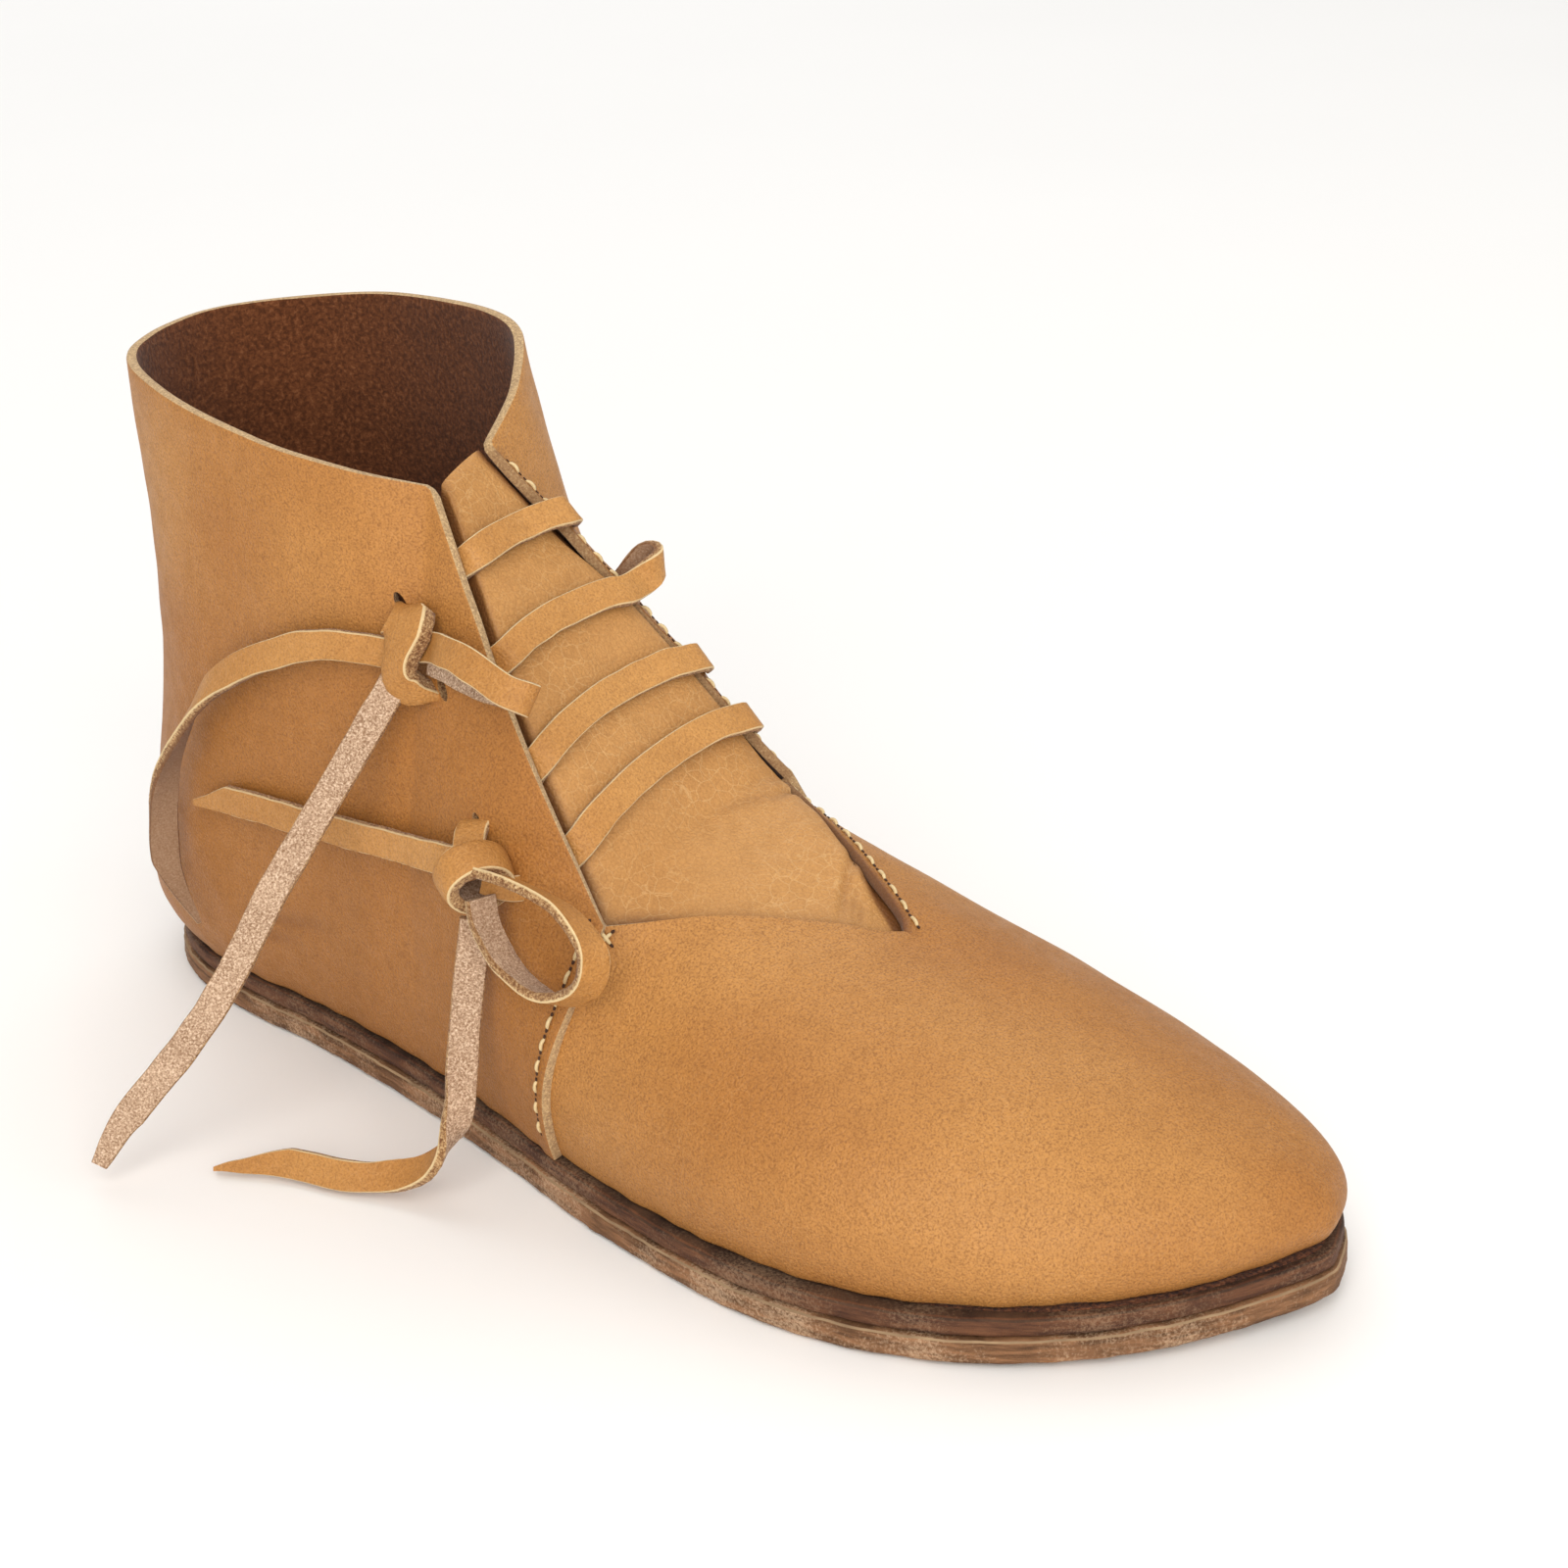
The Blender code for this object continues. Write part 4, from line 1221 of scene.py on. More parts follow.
@dataclass
class Tongue:
    """Tongue sewn under the inner quarter's edge and free under the outer quarter."""

    form: BootForm
    wardrobe: Wardrobe
    thick: float = 1.8
    edge_round: float = 0.35
    under_outer: float = 17.0
    under_inner: float = 8.0
    last_place: float = 0.99
    puff: tuple[float, float, float] = (1.0, -25.0, 59.5)
    puff_high: float = 1.3
    puff_wide: float = 13.0
    rows: int = 190
    outer_steps: int = 13
    inner_steps: int = 6
    arc_steps: int = 58
    uneven: tuple[Swell, ...] = (Swell(0.2, 17.0, 21), Swell(0.07, 6.0, 22))
    tone_drift: Swell = Swell(0.06, 40.0, 23)
    crackle_drift: Swell = Swell(0.25, 22.0, 24)
    hidden_shade: float = 0.8
    crease_shade: float = 0.22
    most_shade: float = 0.85
    creases: tuple[Crease, ...] = (
        Crease(((10.3, -14, 63.4), (13, -13.6, 63.2), (15, -13.4, 62.7), (16.9, -14.8, 60.9)), 0.8, 1.0),
        Crease(((-1.2, -10.3, 64.9), (2, -11.2, 64.9), (5.6, -12, 64.5), (10.3, -13.5, 63.6)), 0.35, 1.2),
        Crease(((11.6, -32.9, 56.5), (7.5, -36, 55.8), (3.7, -38.7, 54.8), (-4.4, -44.5, 52.5)), 0.85, 0.9),
        Crease(((6, -39.5, 54.7), (4, -40.9, 54.2), (0.6, -43.4, 53.4), (-2.8, -45.6, 52.3)), 0.65, 0.75),
        Crease(((4.1, -42.7, 53.6), (1.2, -44.8, 52.9), (-1.6, -46.6, 52.0)), 0.5, 0.7),
    )

    def sunk(self, places: Array, arch: Array) -> Array:
        """Shade of the tongue below the throat's edges; it fades over the arch, slower by the vamp.

        Args:
            places: way down the throat of each row.
            arch: points of the arch, a row for each place.

        Returns:
            Shares from 0 to 1 for the whole rows, with the parts hidden under the edges.
        """
        passed = np.cumsum(np.linalg.norm(np.diff(arch, axis=1, prepend=arch[:, :1]), axis=-1), axis=1)
        low = ease((places - 0.58) / 0.06)[:, None]
        tight = ease((places - 0.7) / 0.25)[:, None]
        outer = (0.4 + 0.4 * low) * np.exp(-(passed / (1.3 + 1.5 * low)) ** 2)
        inner = 0.85 * np.exp(-((passed[:, -1:] - passed) / (1.3 + 0.5 * tight)) ** (2 + 4 * tight))
        hidden = ((0, 0), (self.outer_steps, self.inner_steps))
        return np.pad(np.maximum(outer, inner), hidden, constant_values=self.hidden_shade)

    def under(self, ribs: Array, below: Array, drop: Array) -> Array:
        """Part of the tongue that lies under a quarter beside the throat.

        Args:
            ribs: rib of each row.
            below: distances from the quarter's edge.
            drop: depth under the quarter's outer face at each row.

        Returns:
            Points, a row for each rib.
        """
        share = self.form.share_below(ribs, below)
        face = self.form.outer_face(ribs[:, None], share)
        return face - drop[:, None, None] * self.form.face_normal(ribs[:, None], share)

    def build(self) -> None:
        """Makes the tongue: under the outer edge, over the arch of the throat, under the inner edge."""
        form = self.form
        places = np.linspace(0.0, self.last_place, self.rows)
        rib_outer, rib_inner = form.throat_ribs(places)
        drop_outer, drop_inner = form.tongue_drop(places)
        across_arch = np.linspace(0, 1, self.arc_steps)
        arch = form.throat_arc(places[:, None], across_arch)
        below_outer = np.linspace(self.under_outer, 0, self.outer_steps, endpoint=False)
        below_inner = np.linspace(0, self.under_inner, self.inner_steps + 1)[1:]
        plain = np.concatenate([
            self.under(rib_outer, below_outer, drop_outer),
            arch,
            self.under(rib_inner, below_inner, np.full(self.rows, drop_inner)),
        ], axis=1)
        points = plain.copy()
        bulge = form.inner_swell(places[:, None], across_arch)[..., None]
        points[:, self.outer_steps:-self.inner_steps] += form.face_normal(rib_inner, 1.0)[:, None] * bulge
        normal = unit(np.cross(np.gradient(points, axis=0), np.gradient(points, axis=1)))
        height, deep = creased(plain, self.creases)
        height += sum(swell.at(points) for swell in self.uneven)
        gap = np.linalg.norm(plain - np.array(self.puff), axis=-1)
        height += self.puff_high * np.exp(-(gap / self.puff_wide) ** 2)
        points = points + normal * height[..., None]
        tones = {
            "tone": -0.03 + self.tone_drift.at(points),
            "shade": np.clip(self.crease_shade * deep + self.sunk(places, arch), 0, self.most_shade),
            "pale": np.zeros(points.shape[:2]),
            "crackle": np.clip(0.28 + self.crackle_drift.at(points), 0.0, 0.5),
        }
        faces = grid_faces(*points.shape[:2])[:, ::-1]
        materials = [self.wardrobe.tongue_grain, self.wardrobe.lining, self.wardrobe.edge]
        piece = add_mesh("tongue_leather", points, faces, materials, tones=tones)
        thicken(piece, self.thick, self.edge_round)
        settle(piece)
        on_boot(piece, "tongue", "tongue")


# Sole


@dataclass
class Sole:
    """Outsole, midsole and insole, each a profile carried once round the foot's outline."""

    form: BootForm
    wardrobe: Wardrobe
    pitch: float = 1.2
    corner: float = 0.9
    side_steps: int = 7
    corner_steps: int = 4
    spine_end: float = 30.0
    shrink: tuple[float, ...] = (0.02, 0.35, 0.7, 0.9)
    insole_inset: float = 4.3
    insole_thick: float = 2.5
    insole_gap: float = 0.05
    wear: tuple[Swell, ...] = (Swell(0.6, 9.0, 31), Swell(0.5, 3.2, 32))
    sharp_deg: float = 60.0

    def profile(self, low: float, high: float) -> Array:
        """Side of a layer as insets and heights: a rounded lower corner, the side, an upper corner."""
        turn = np.linspace(0, math.pi / 2, self.corner_steps)
        soft, hard = self.corner * (1 - np.sin(turn)), self.corner * (1 - np.cos(turn))
        side = np.linspace(low + self.corner, high - self.corner, self.side_steps)[1:-1]
        return np.concatenate([
            np.stack([soft, low + hard], axis=1),
            np.stack([np.zeros(len(side)), side], axis=1),
            np.stack([hard, high - soft], axis=1),
        ])

    def layer(
        self,
        name: str,
        node: str,
        inset: float,
        low: float,
        high: float,
        materials: Sequence[bpy.types.Material],
        roughness: float,
    ) -> None:
        """One layer: loops round the outline, from the middle of its underside over its side to its top.

        Each loop is the outline moved in by an inset and set at a height; towards the middle the
        loops shrink to the foot's centre line instead. The side is worn by a soft noise.

        Args:
            name: name of the piece.
            node: solid that it stands for.
            inset: how far the layer's side stands in from the outline.
            low: height of the underside.
            high: height of the top.
            materials: finishes of the side, of top and underside, and of the side's upper lip.
            roughness: depth of the wear in millimetres.
        """
        form = self.form
        count = int(form.round / self.pitch)
        edge, outward = form.outline_at(np.linspace(0, form.round, count, endpoint=False))
        spine_y = np.clip(edge[:, 1], self.spine_end - form.heel_y, form.heel_y - self.spine_end)
        sides = [form.side_line(side) for side in Side]
        spine_x = 0.5 * sum(np.interp(-spine_y, -line[:, 1], line[:, 0]) for line in sides)
        spine = np.stack([spine_x, spine_y], axis=1)
        inner_loops = [spine + (edge - spine) * share for share in self.shrink]
        profile = self.profile(low, high)
        side_loops = [edge - outward * (inset + step) for step in profile[:, 0]]
        plan = np.stack(inner_loops + side_loops + inner_loops[::-1])
        ends = np.ones(len(self.shrink))
        height = np.concatenate([low * ends, profile[:, 1], high * ends])[:, None]
        points = np.concatenate([plan, (height + form.spring(plan[..., 1]))[..., None]], axis=-1)
        first, last = len(self.shrink), len(self.shrink) + len(profile)
        worn = roughness * sum(swell.at(points) for swell in self.wear)
        points[first:last, :, :2] += outward * worn[first:last, :, None]
        row = np.repeat(np.arange(len(plan) - 1), count)
        slots = np.where((row >= first) & (row < last - 1), 0, 1)
        slots = np.where(row == last - 3, 2, slots).tolist()
        piece = add_mesh(name, points, tube_faces(len(plan), count), materials, slots + [1, 1])
        piece.data.set_sharp_from_angle(angle=math.radians(self.sharp_deg))
        on_boot(piece, node, node)

    def build(self) -> None:
        """Makes the layers, with a pale line between the lower two, along the outsole's upper corner."""
        form, wardrobe = self.form, self.wardrobe
        low = form.outsole_thick + form.layer_gap
        self.layer("outsole_leather", "outsole", 0.0, 0.0, form.outsole_thick,
                   [wardrobe.outsole, wardrobe.outsole, wardrobe.seam_line], 0.22)
        self.layer("midsole_leather", "midsole", form.midsole_inset, low, form.sole_top,
                   [wardrobe.midsole, wardrobe.ledge, wardrobe.ledge], 0.16)
        low = form.sole_top + self.insole_gap
        self.layer("insole_leather", "insole", self.insole_inset, low, low + self.insole_thick,
                   [wardrobe.lining] * 3, 0.05)


# Lacing


Row6 = tuple[float, float, float, float, float, float]

# Points along the middle of each loop and end, each with the direction across the strip
ROUTES: dict[str, tuple[Row6, ...]] = {
    "upper_loop": (
        (-35.7, 32.6, 100.4, -0.40, -0.30, -0.85),
        (-36.6, 27.0, 101.8, -0.45, -0.15, -0.85),
        (-40.3, 20.3, 103.9, -0.55, -0.05, -0.83),
        (-42.5, 12.0, 104.3, -0.62, 0.00, -0.78),
        (-42.9, 5.0, 102.6, -0.62, 0.00, -0.78),
        (-42.4, 0.8, 101.1, -0.62, 0.00, -0.78),
        (-40.2, -1.7, 99.7, -0.62, 0.00, -0.78),
        (-38.0, 0.6, 98.5, -0.60, 0.00, -0.80),
        (-37.3, 6.0, 98.0, -0.50, 0.00, -0.85),
        (-37.5, 13.0, 98.0, -0.40, -0.05, -0.90),
        (-36.6, 22.0, 98.4, -0.30, -0.10, -1.00),
        (-35.6, 29.3, 98.6, -0.20, -0.20, -1.00),
    ),
    "lower_loop": (
        (-51.0, 2.6, 67.2, -0.80, 0.20, 0.50),
        (-50.6, -6.5, 67.4, -0.80, 0.20, 0.50),
        (-50.0, -17.5, 65.4, -0.80, 0.25, 0.50),
        (-50.2, -24.6, 59.5, -0.80, 0.25, 0.40),
        (-50.8, -23.0, 51.5, -0.80, 0.25, 0.40),
        (-51.6, -14.0, 46.9, -0.80, 0.25, 0.40),
        (-52.0, -4.5, 50.0, -0.80, 0.25, 0.40),
        (-52.2, 1.0, 57.0, -0.80, 0.25, 0.40),
        (-51.6, 3.0, 62.5, -0.80, 0.25, 0.40),
    ),
    "upper_end_back": (
        (-37.9, 38.0, 98.6, 0.1, 0.2, 1.0),
        (-43.2, 53.0, 98.5, 0.1, 0.1, 1.0),
        (-45.6, 69.0, 92.5, 0.25, 0.2, 0.95),
        (-47.0, 82.0, 85.0, 0.5, 0.3, 0.8),
        (-47.5, 90.5, 76.8, 0.8, 0.3, 0.5),
        (-46.8, 102.5, 61.5, 0.9, -0.1, 0.3),
        (-46.5, 107.5, 47.5, 0.85, -0.5, 0.1),
        (-47.5, 107.0, 35.0, 0.85, -0.5, 0.0),
        (-49.0, 100.5, 24.5, 0.85, -0.45, 0.0),
    ),
    "upper_end_down": (
        (-38.6, 34.6, 96.2, 0.385, -0.77, -0.505),
        (-55.0, 40.9, 73.2, 0.385, -0.77, -0.505),
        (-65.5, 45.1, 58.2, 0.385, -0.77, -0.505),
        (-75.4, 48.2, 43.1, 0.385, -0.77, -0.505),
        (-82.0, 51.2, 33.4, 0.4, -0.76, -0.5),
        (-89.5, 56.7, 22.4, 0.4, -0.75, -0.45),
        (-95.5, 61.8, 13.2, 0.4, -0.75, -0.45),
        (-100.4, 63.6, 4.4, 0.45, -0.75, -0.4),
    ),
    "lower_end_back": (
        (-48.0, 10.4, 66.2, 0.2, -0.1, 1.0),
        (-46.6, 19.0, 64.0, 0.2, -0.1, 1.0),
        (-44.4, 36.2, 61.1, 0.1, 0.0, 1.0),
        (-45.0, 56.1, 59.5, 0.1, 0.0, 1.0),
        (-45.4, 77.4, 58.0, 0.1, 0.0, 1.0),
        (-45.2, 97.0, 56.1, 0.0, 0.0, 1.0),
    ),
    "lower_end_down": (
        (-50.6, 5.6, 56.9, 0.59, -0.70, -0.13),
        (-51.5, 5.9, 52.0, 0.59, -0.70, -0.13),
        (-53.0, 7.2, 40.4, 0.62, -0.66, -0.15),
        (-56.0, 6.7, 29.0, 0.65, -0.60, -0.20),
        (-60.0, 4.4, 20.2, 0.80, -0.30, -0.10),
        (-63.4, 5.8, 12.5, 0.85, 0.30, 0.25),
        (-65.7, 10.2, 7.5, 0.70, 0.40, 0.50),
        (-68.5, 17.4, 4.6, 0.50, 0.30, 0.80),
        (-72.4, 25.1, 3.8, 0.37, 0.16, 0.86),
        (-76.1, 37.2, 3.7, 0.37, 0.16, 0.86),
        (-81.4, 47.8, 3.7, 0.37, 0.16, 0.86),
        (-83.6, 51.2, 3.7, 0.37, 0.16, 0.86),
    ),
}


@dataclass(frozen=True)
class Tip:
    """Slanting cut at a strip's end: how long it is and where each long side ends.

    low and high are shares of the half width, -1 for the side against the across direction and
    1 for the side along it.
    """

    long: float
    low: float
    high: float


@dataclass(frozen=True)
class Knot:
    """A turn of thong round an axis, with its radius along the quarter and out from it.

    flare tells how much the turn narrows along the axis, as a slope.
    """

    name: str
    centre: tuple[float, float, float]
    axis: tuple[float, float, float]
    along: float
    out: float
    from_deg: float
    to_deg: float
    flare: float


KNOT_OUTWARD = (-0.965, 0.0, 0.26)
LOWER_KNOT = Knot("lower_knot", (-49.3, 6.3, 64.7), (-0.372, -0.85, -0.372), 5.5, 6.2, -75, 255, 0.12)

# Loose inner end of the second bar, which stands on edge and bends round before its slit
BAR_TURN: tuple[Row6, ...] = (
    (9.5, 16.8, 104.0, 0.20, -0.45, -0.85),
    (12.1, 16.0, 105.5, 0.10, -0.10, -1.00),
    (14.5, 16.6, 106.4, 0.10, 0.05, -1.00),
    (15.6, 18.7, 106.9, 0.10, 0.10, -1.00),
    (15.2, 20.7, 106.4, 0.05, 0.10, -1.00),
    (14.2, 22.2, 104.6, 0.00, 0.10, -1.00),
)


@dataclass(frozen=True)
class Hook:
    """Broad turn of thong that holds the upper tie, from slit to slit.

    It is set back and swings by sway, first to the front and then back, and rises over its sunk
    ends. shoulder is the extra width at the way shoulder_at, turn_deg how far it is turned at each
    end, tilt_deg how far its back side leans in, and taper how fast it narrows at each end and the
    least share of its width.
    """

    rise: float = 6.7
    sunk: float = 1.6
    sway: float = 3.5
    set_back: float = 2.0
    wide: float = 6.6
    shoulder: float = 5.6
    shoulder_at: float = 0.29
    shoulder_long: float = 0.15
    turn_deg: Span = (48.0, 22.0)
    tilt_deg: float = 15.0
    tilt_by: float = 0.7
    taper: tuple[float, float, float] = (4.0, 7.0, 0.3)
    ends: Span = (0.03, 0.985)
    steps: int = 14

    def route(self, start: Array, end: Array, normal: Array) -> tuple[Array, Array, Array]:
        """Rows of the hook between two slits.

        With t the way from slit to slit, the middle line swings as -sin(2 pi t) and rises as
        sin(pi t)^0.7, and the width has a bell at the shoulder and tapers into the slits.

        Args:
            start: centre of the upper slit.
            end: centre of the lower slit.
            normal: outward direction between them.

        Returns:
            Middle points, directions across and widths.
        """
        way = np.linspace(*self.ends, self.steps)[:, None]
        down = end - start
        back = unit(np.cross(down, normal))
        swing = self.set_back - self.sway * np.sin(2 * math.pi * way)
        height = self.rise * np.sin(math.pi * way) ** 0.7 - self.sunk
        line = start + down * way + back * swing + normal * height
        turn = np.radians(self.turn_deg[1] * way - self.turn_deg[0] * (1 - way) ** 2)
        tilt = math.radians(self.tilt_deg) * ease(way / self.tilt_by)
        flat = unit(down) * np.sin(turn) + back * np.cos(turn)
        bell = np.exp(-((way - self.shoulder_at) / self.shoulder_long) ** 2)
        at_start, at_end, least = self.taper
        taper = np.clip(np.minimum(at_start * way, at_end * (1 - way)), least, 1.0)
        wide = (self.wide + self.shoulder * bell) * taper
        return line, flat * np.cos(tilt) - normal * np.sin(tilt), wide[:, 0]


@dataclass(frozen=True)
class Thong:
    """Cut of the lacing: a flat strip of the same leather with knife-cut sides."""

    wide: float = 6.0
    thick: float = 1.9
    corner: float = 0.25
    pitch: float = 0.9
    flat_steps: int = 7
    flat_share: float = 0.94
    fray: float = 0.10
    rim_pale: float = 0.85
    width_limits: Span = (0.2, 1.6)
    low_wobble: Swell = Swell(0.12, 9.0, 41)
    high_wobble: Swell = Swell(0.12, 9.0, 42)
    nap: Swell = Swell(1.0, 2.2, 43)
    tone_drift: Swell = Swell(0.05, 30.0, 44)
    crackle: float = 0.3
    sharp_deg: float = 50.0

    def profile(self) -> tuple[Array, Array, Array, Array]:
        """Ring of the strip's section.

        Returns:
            Shares across, heights, paleness of each point, and the face after each point.
        """
        flat = np.linspace(-self.flat_share, self.flat_share, self.flat_steps)
        half = self.thick / 2
        side = np.array([half - self.corner, half - 2.2 * self.corner, 0.0, -0.5 * half, self.corner - half])
        bulge = np.array([1.0, 1.01, 1.02, 1.02, 1.0])
        share = np.concatenate([flat, bulge, flat[::-1], -bulge])
        height = np.concatenate([np.full(len(flat), half), side, np.full(len(flat), -half), side[::-1]])
        pale = np.zeros(len(share))
        pale[[0, len(flat) - 1, len(flat), -1]] = self.rim_pale
        sides = [Face.EDGE] * (len(side) + 1)
        top = [Face.GRAIN] * (len(flat) - 1) + sides
        under = [Face.FLESH] * (len(flat) - 1) + sides
        return share, height, pale, np.array(top + under)

    def sweep(
        self,
        name: str,
        path: Array,
        across: Array,
        materials: Sequence[bpy.types.Material],
        tip: Tip | None = None,
        narrow: Array | None = None,
        cup: float = 0.0,
        dim: float = 0.0,
    ) -> tuple[bpy.types.Object, Array]:
        """Strip along a path: its section carried along, turned to the across directions.

        A point is path + across * (middle + half * share) + normal * (height + cup * share^2),
        where normal is across x ahead and points to the grain side.

        Args:
            name: name of the piece.
            path: rows of the middle line, in millimetres.
            across: direction across the strip at each row.
            materials: finishes of grain, flesh and edge.
            tip: cut of the last end, if it shows.
            narrow: width at each row as a share of the full width.
            cup: how far both sides bend towards the grain side.
            dim: painted shade on the flesh side, from 0 to 1.

        Returns:
            The new object and its middle line.
        """
        dense = np.linspace(0, len(path) - 1, 40 * len(path))
        passed = travel(spline(path, dense))
        count = max(8, int(passed[-1] / self.pitch))
        reached = np.linspace(0, passed[-1], count)
        at = np.interp(reached, passed, dense)
        line = spline(path, at)
        ahead = unit(np.gradient(line, axis=0))
        sideways = spline(across, at)
        sideways = unit(sideways - ahead * np.sum(sideways * ahead, axis=1, keepdims=True))
        normal = np.cross(sideways, ahead)
        half = np.full(count, self.wide / 2)
        if narrow is not None:
            half = half * np.clip(spline(narrow[:, None], at)[:, 0], *self.width_limits)
        low, high = -half, half
        if tip is not None:
            cut = np.clip(1 - (passed[-1] - reached) / tip.long, 0, 1)
            low = low + half * (tip.low + 1) * cut
            high = high + half * (tip.high - 1) * cut
        low = low + self.low_wobble.at(line)
        high = high + self.high_wobble.at(line)
        share, height, pale, kind = self.profile()
        wide = ((high + low) / 2)[:, None] + ((high - low) / 2)[:, None] * share
        points = line[:, None] + sideways[:, None] * wide[..., None]
        points = points + normal[:, None] * (height + cup * share ** 2)[:, None]
        rough = np.where(height < self.thick / 2 - 0.01, self.fray, 0.2 * self.fray)
        points = points + normal[:, None] * (rough * self.nap.at(points))[..., None]
        tones = {
            "tone": self.tone_drift.at(points),
            # Painted shade on the flesh side
            "shade": np.tile(np.where(height < 0, dim, 0.0), (count, 1)),
            "pale": np.tile(pale, (count, 1)),
            "crackle": np.full(points.shape[:2], self.crackle),
        }
        slots = np.tile(kind, count - 1).tolist() + [Face.EDGE] * 2
        piece = add_mesh(name, points, tube_faces(count, len(share)), materials, slots, tones)
        piece.data.set_sharp_from_angle(angle=math.radians(self.sharp_deg))
        return piece, line


@dataclass
class Lacing:
    """Two thongs: four bars over the tongue, two ties on the outer side, their loops and ends."""

    form: BootForm
    wardrobe: Wardrobe
    thong: Thong = Thong()
    band: Thong = Thong(wide=6.8, thick=2.6)
    hook: Hook = Hook()
    hook_band: Thong = Thong(wide=6.8, thick=3.5)
    band_cup: float = -0.25
    hook_cup: float = -0.4
    gap: float = 0.7
    under_gap: float = 0.45
    lift: float = 0.35
    bar_steps: int = 11
    bar_ends: Span = (0.06, 0.97)
    climb_from: float = 0.6
    climb_over: float = 0.37
    under: tuple[float, ...] = (0.12, 0.3, 0.5, 0.7, 0.88)
    over: tuple[float, ...] = (0.3, 0.6, 0.85)
    inside_gap: float = 0.6
    inside_reach: float = 3.5
    ring_steps: int = 15
    tips: Mapping[str, Tip] = field(default_factory=lambda: {
        "upper_end_back": Tip(15.0, 0.7, 1.0),
        "upper_end_down": Tip(12.0, -1.0, 0.1),
        "lower_end_back": Tip(12.0, -1.0, -0.6),
        "lower_end_down": Tip(16.0, -1.0, -0.7),
    })
    # Painted shade on the flesh side of these strips
    dimmed: Mapping[str, float] = field(default_factory=lambda: {
        "upper_end_back": 0.8,
        "lower_loop": 0.35,
        "upper_lace": 0.7,
    })

    @property
    def materials(self) -> list[bpy.types.Material]:
        """Finishes of the thongs' grain, flesh and edges."""
        return [self.wardrobe.thong_grain, self.wardrobe.thong_flesh, self.wardrobe.edge]

    def bar(self, row: LaceRow) -> tuple[Array, Array]:
        """Middle line of one bar, from under the outer slit over the tongue to the inner slit.

        Args:
            row: the crossing.

        Returns:
            Points, and the direction across the strip at each.
        """
        form = self.form
        half = self.thong.thick / 2
        place_outer = form.throat_share * row.outer_share
        place_inner = form.throat_share * row.inner_share
        drop_outer, drop_inner = form.tongue_drop(np.array((place_outer + place_inner) / 2))
        points, facing = [], []
        edge = form.outer_face(form.edge_rib(Side.OUTER, row.outer_share), 1.0)[1:]
        slit = row.slit(Side.OUTER)
        for share in self.under:
            place = form.quarter_at(Side.OUTER, *(slit * (1 - share) + edge * share))
            facing.append(form.face_normal(*place))
            points.append(form.outer_face(*place) - (drop_outer - self.under_gap - half) * facing[-1])
        across = np.linspace(*self.bar_ends, self.bar_steps)
        places = place_outer + (place_inner - place_outer) * across
        normal = form.throat_normal(places, across)
        rise = np.clip((across - self.climb_from) / self.climb_over, 0, 1) * (drop_inner + form.lap * 0.5)
        lifted = self.gap + half + self.lift + np.maximum(rise, form.inner_swell(places, across))
        points.extend(form.throat_arc(places, across) + lifted[:, None] * normal)
        facing.extend(normal)
        if row.turned_back:
            line = np.array(points[:-1])
            sideways = np.cross(unit(np.gradient(line, axis=0)), np.array(facing[:-1]))
            turn = np.array(BAR_TURN)
            return np.concatenate([line, turn[:, :3]]), np.concatenate([sideways, turn[:, 3:]])
        edge = form.outer_face(form.edge_rib(Side.INNER, row.inner_share), 1.0)[1:]
        slit = row.slit(Side.INNER)
        for share in self.over:
            place = form.quarter_at(Side.INNER, *(slit * share + edge * (1 - share)))
            facing.append(form.face_normal(*place))
            height = self.gap + half + form.lap_at(place[0])
            points.append(form.outer_face(*place) + height * facing[-1])
        line = np.array(points)
        return line, np.cross(unit(np.gradient(line, axis=0)), np.array(facing))

    def inside_turn(self, first: LaceRow, second: LaceRow) -> tuple[Array, Array]:
        """Hidden way between two inner slits: down through the first, half a circle, up the second.

        The half circle lies against the quarter's inside, in the plane along the foot and up.

        Args:
            first: crossing whose slit the thong goes in by.
            second: crossing whose slit it comes out by.

        Returns:
            Points, and the direction across the strip at each.
        """
        form = self.form
        start, end = first.slit(Side.INNER), second.slit(Side.INNER)
        down = (end - start) / np.linalg.norm(end - start)
        back = np.array([-down[1], down[0]])
        if back[0] < 0:
            back = -back
        radius = np.linalg.norm(end - start) / 2
        turn = np.linspace(0, math.pi, 7)[:, None]
        circle = (start + end) / 2 + back * self.inside_reach
        circle = circle - down * radius * np.cos(turn) + back * radius * np.sin(turn)
        entry = back * np.array([[0.6], [2.2]])
        plan = np.concatenate([start + entry, circle, end + entry[::-1]])
        sides = np.concatenate([[down, down], np.cos(turn) * down - np.sin(turn) * back, [-down, -down]])
        deep = form.wall + self.thong.thick / 2 + self.inside_gap
        entry_depths = [0.4, deep * 0.7]
        depths = entry_depths + [deep] * len(circle) + entry_depths[::-1]
        points, across = [], []
        for (y, z), side, depth in zip(plan, sides, depths):
            place = form.quarter_at(Side.INNER, y, z)
            normal = form.face_normal(*place)
            points.append(form.outer_face(*place) - depth * normal)
            way = np.array([0.0, side[0], side[1]])
            across.append(unit(way - normal * np.dot(way, normal)))
        return np.array(points), np.array(across)

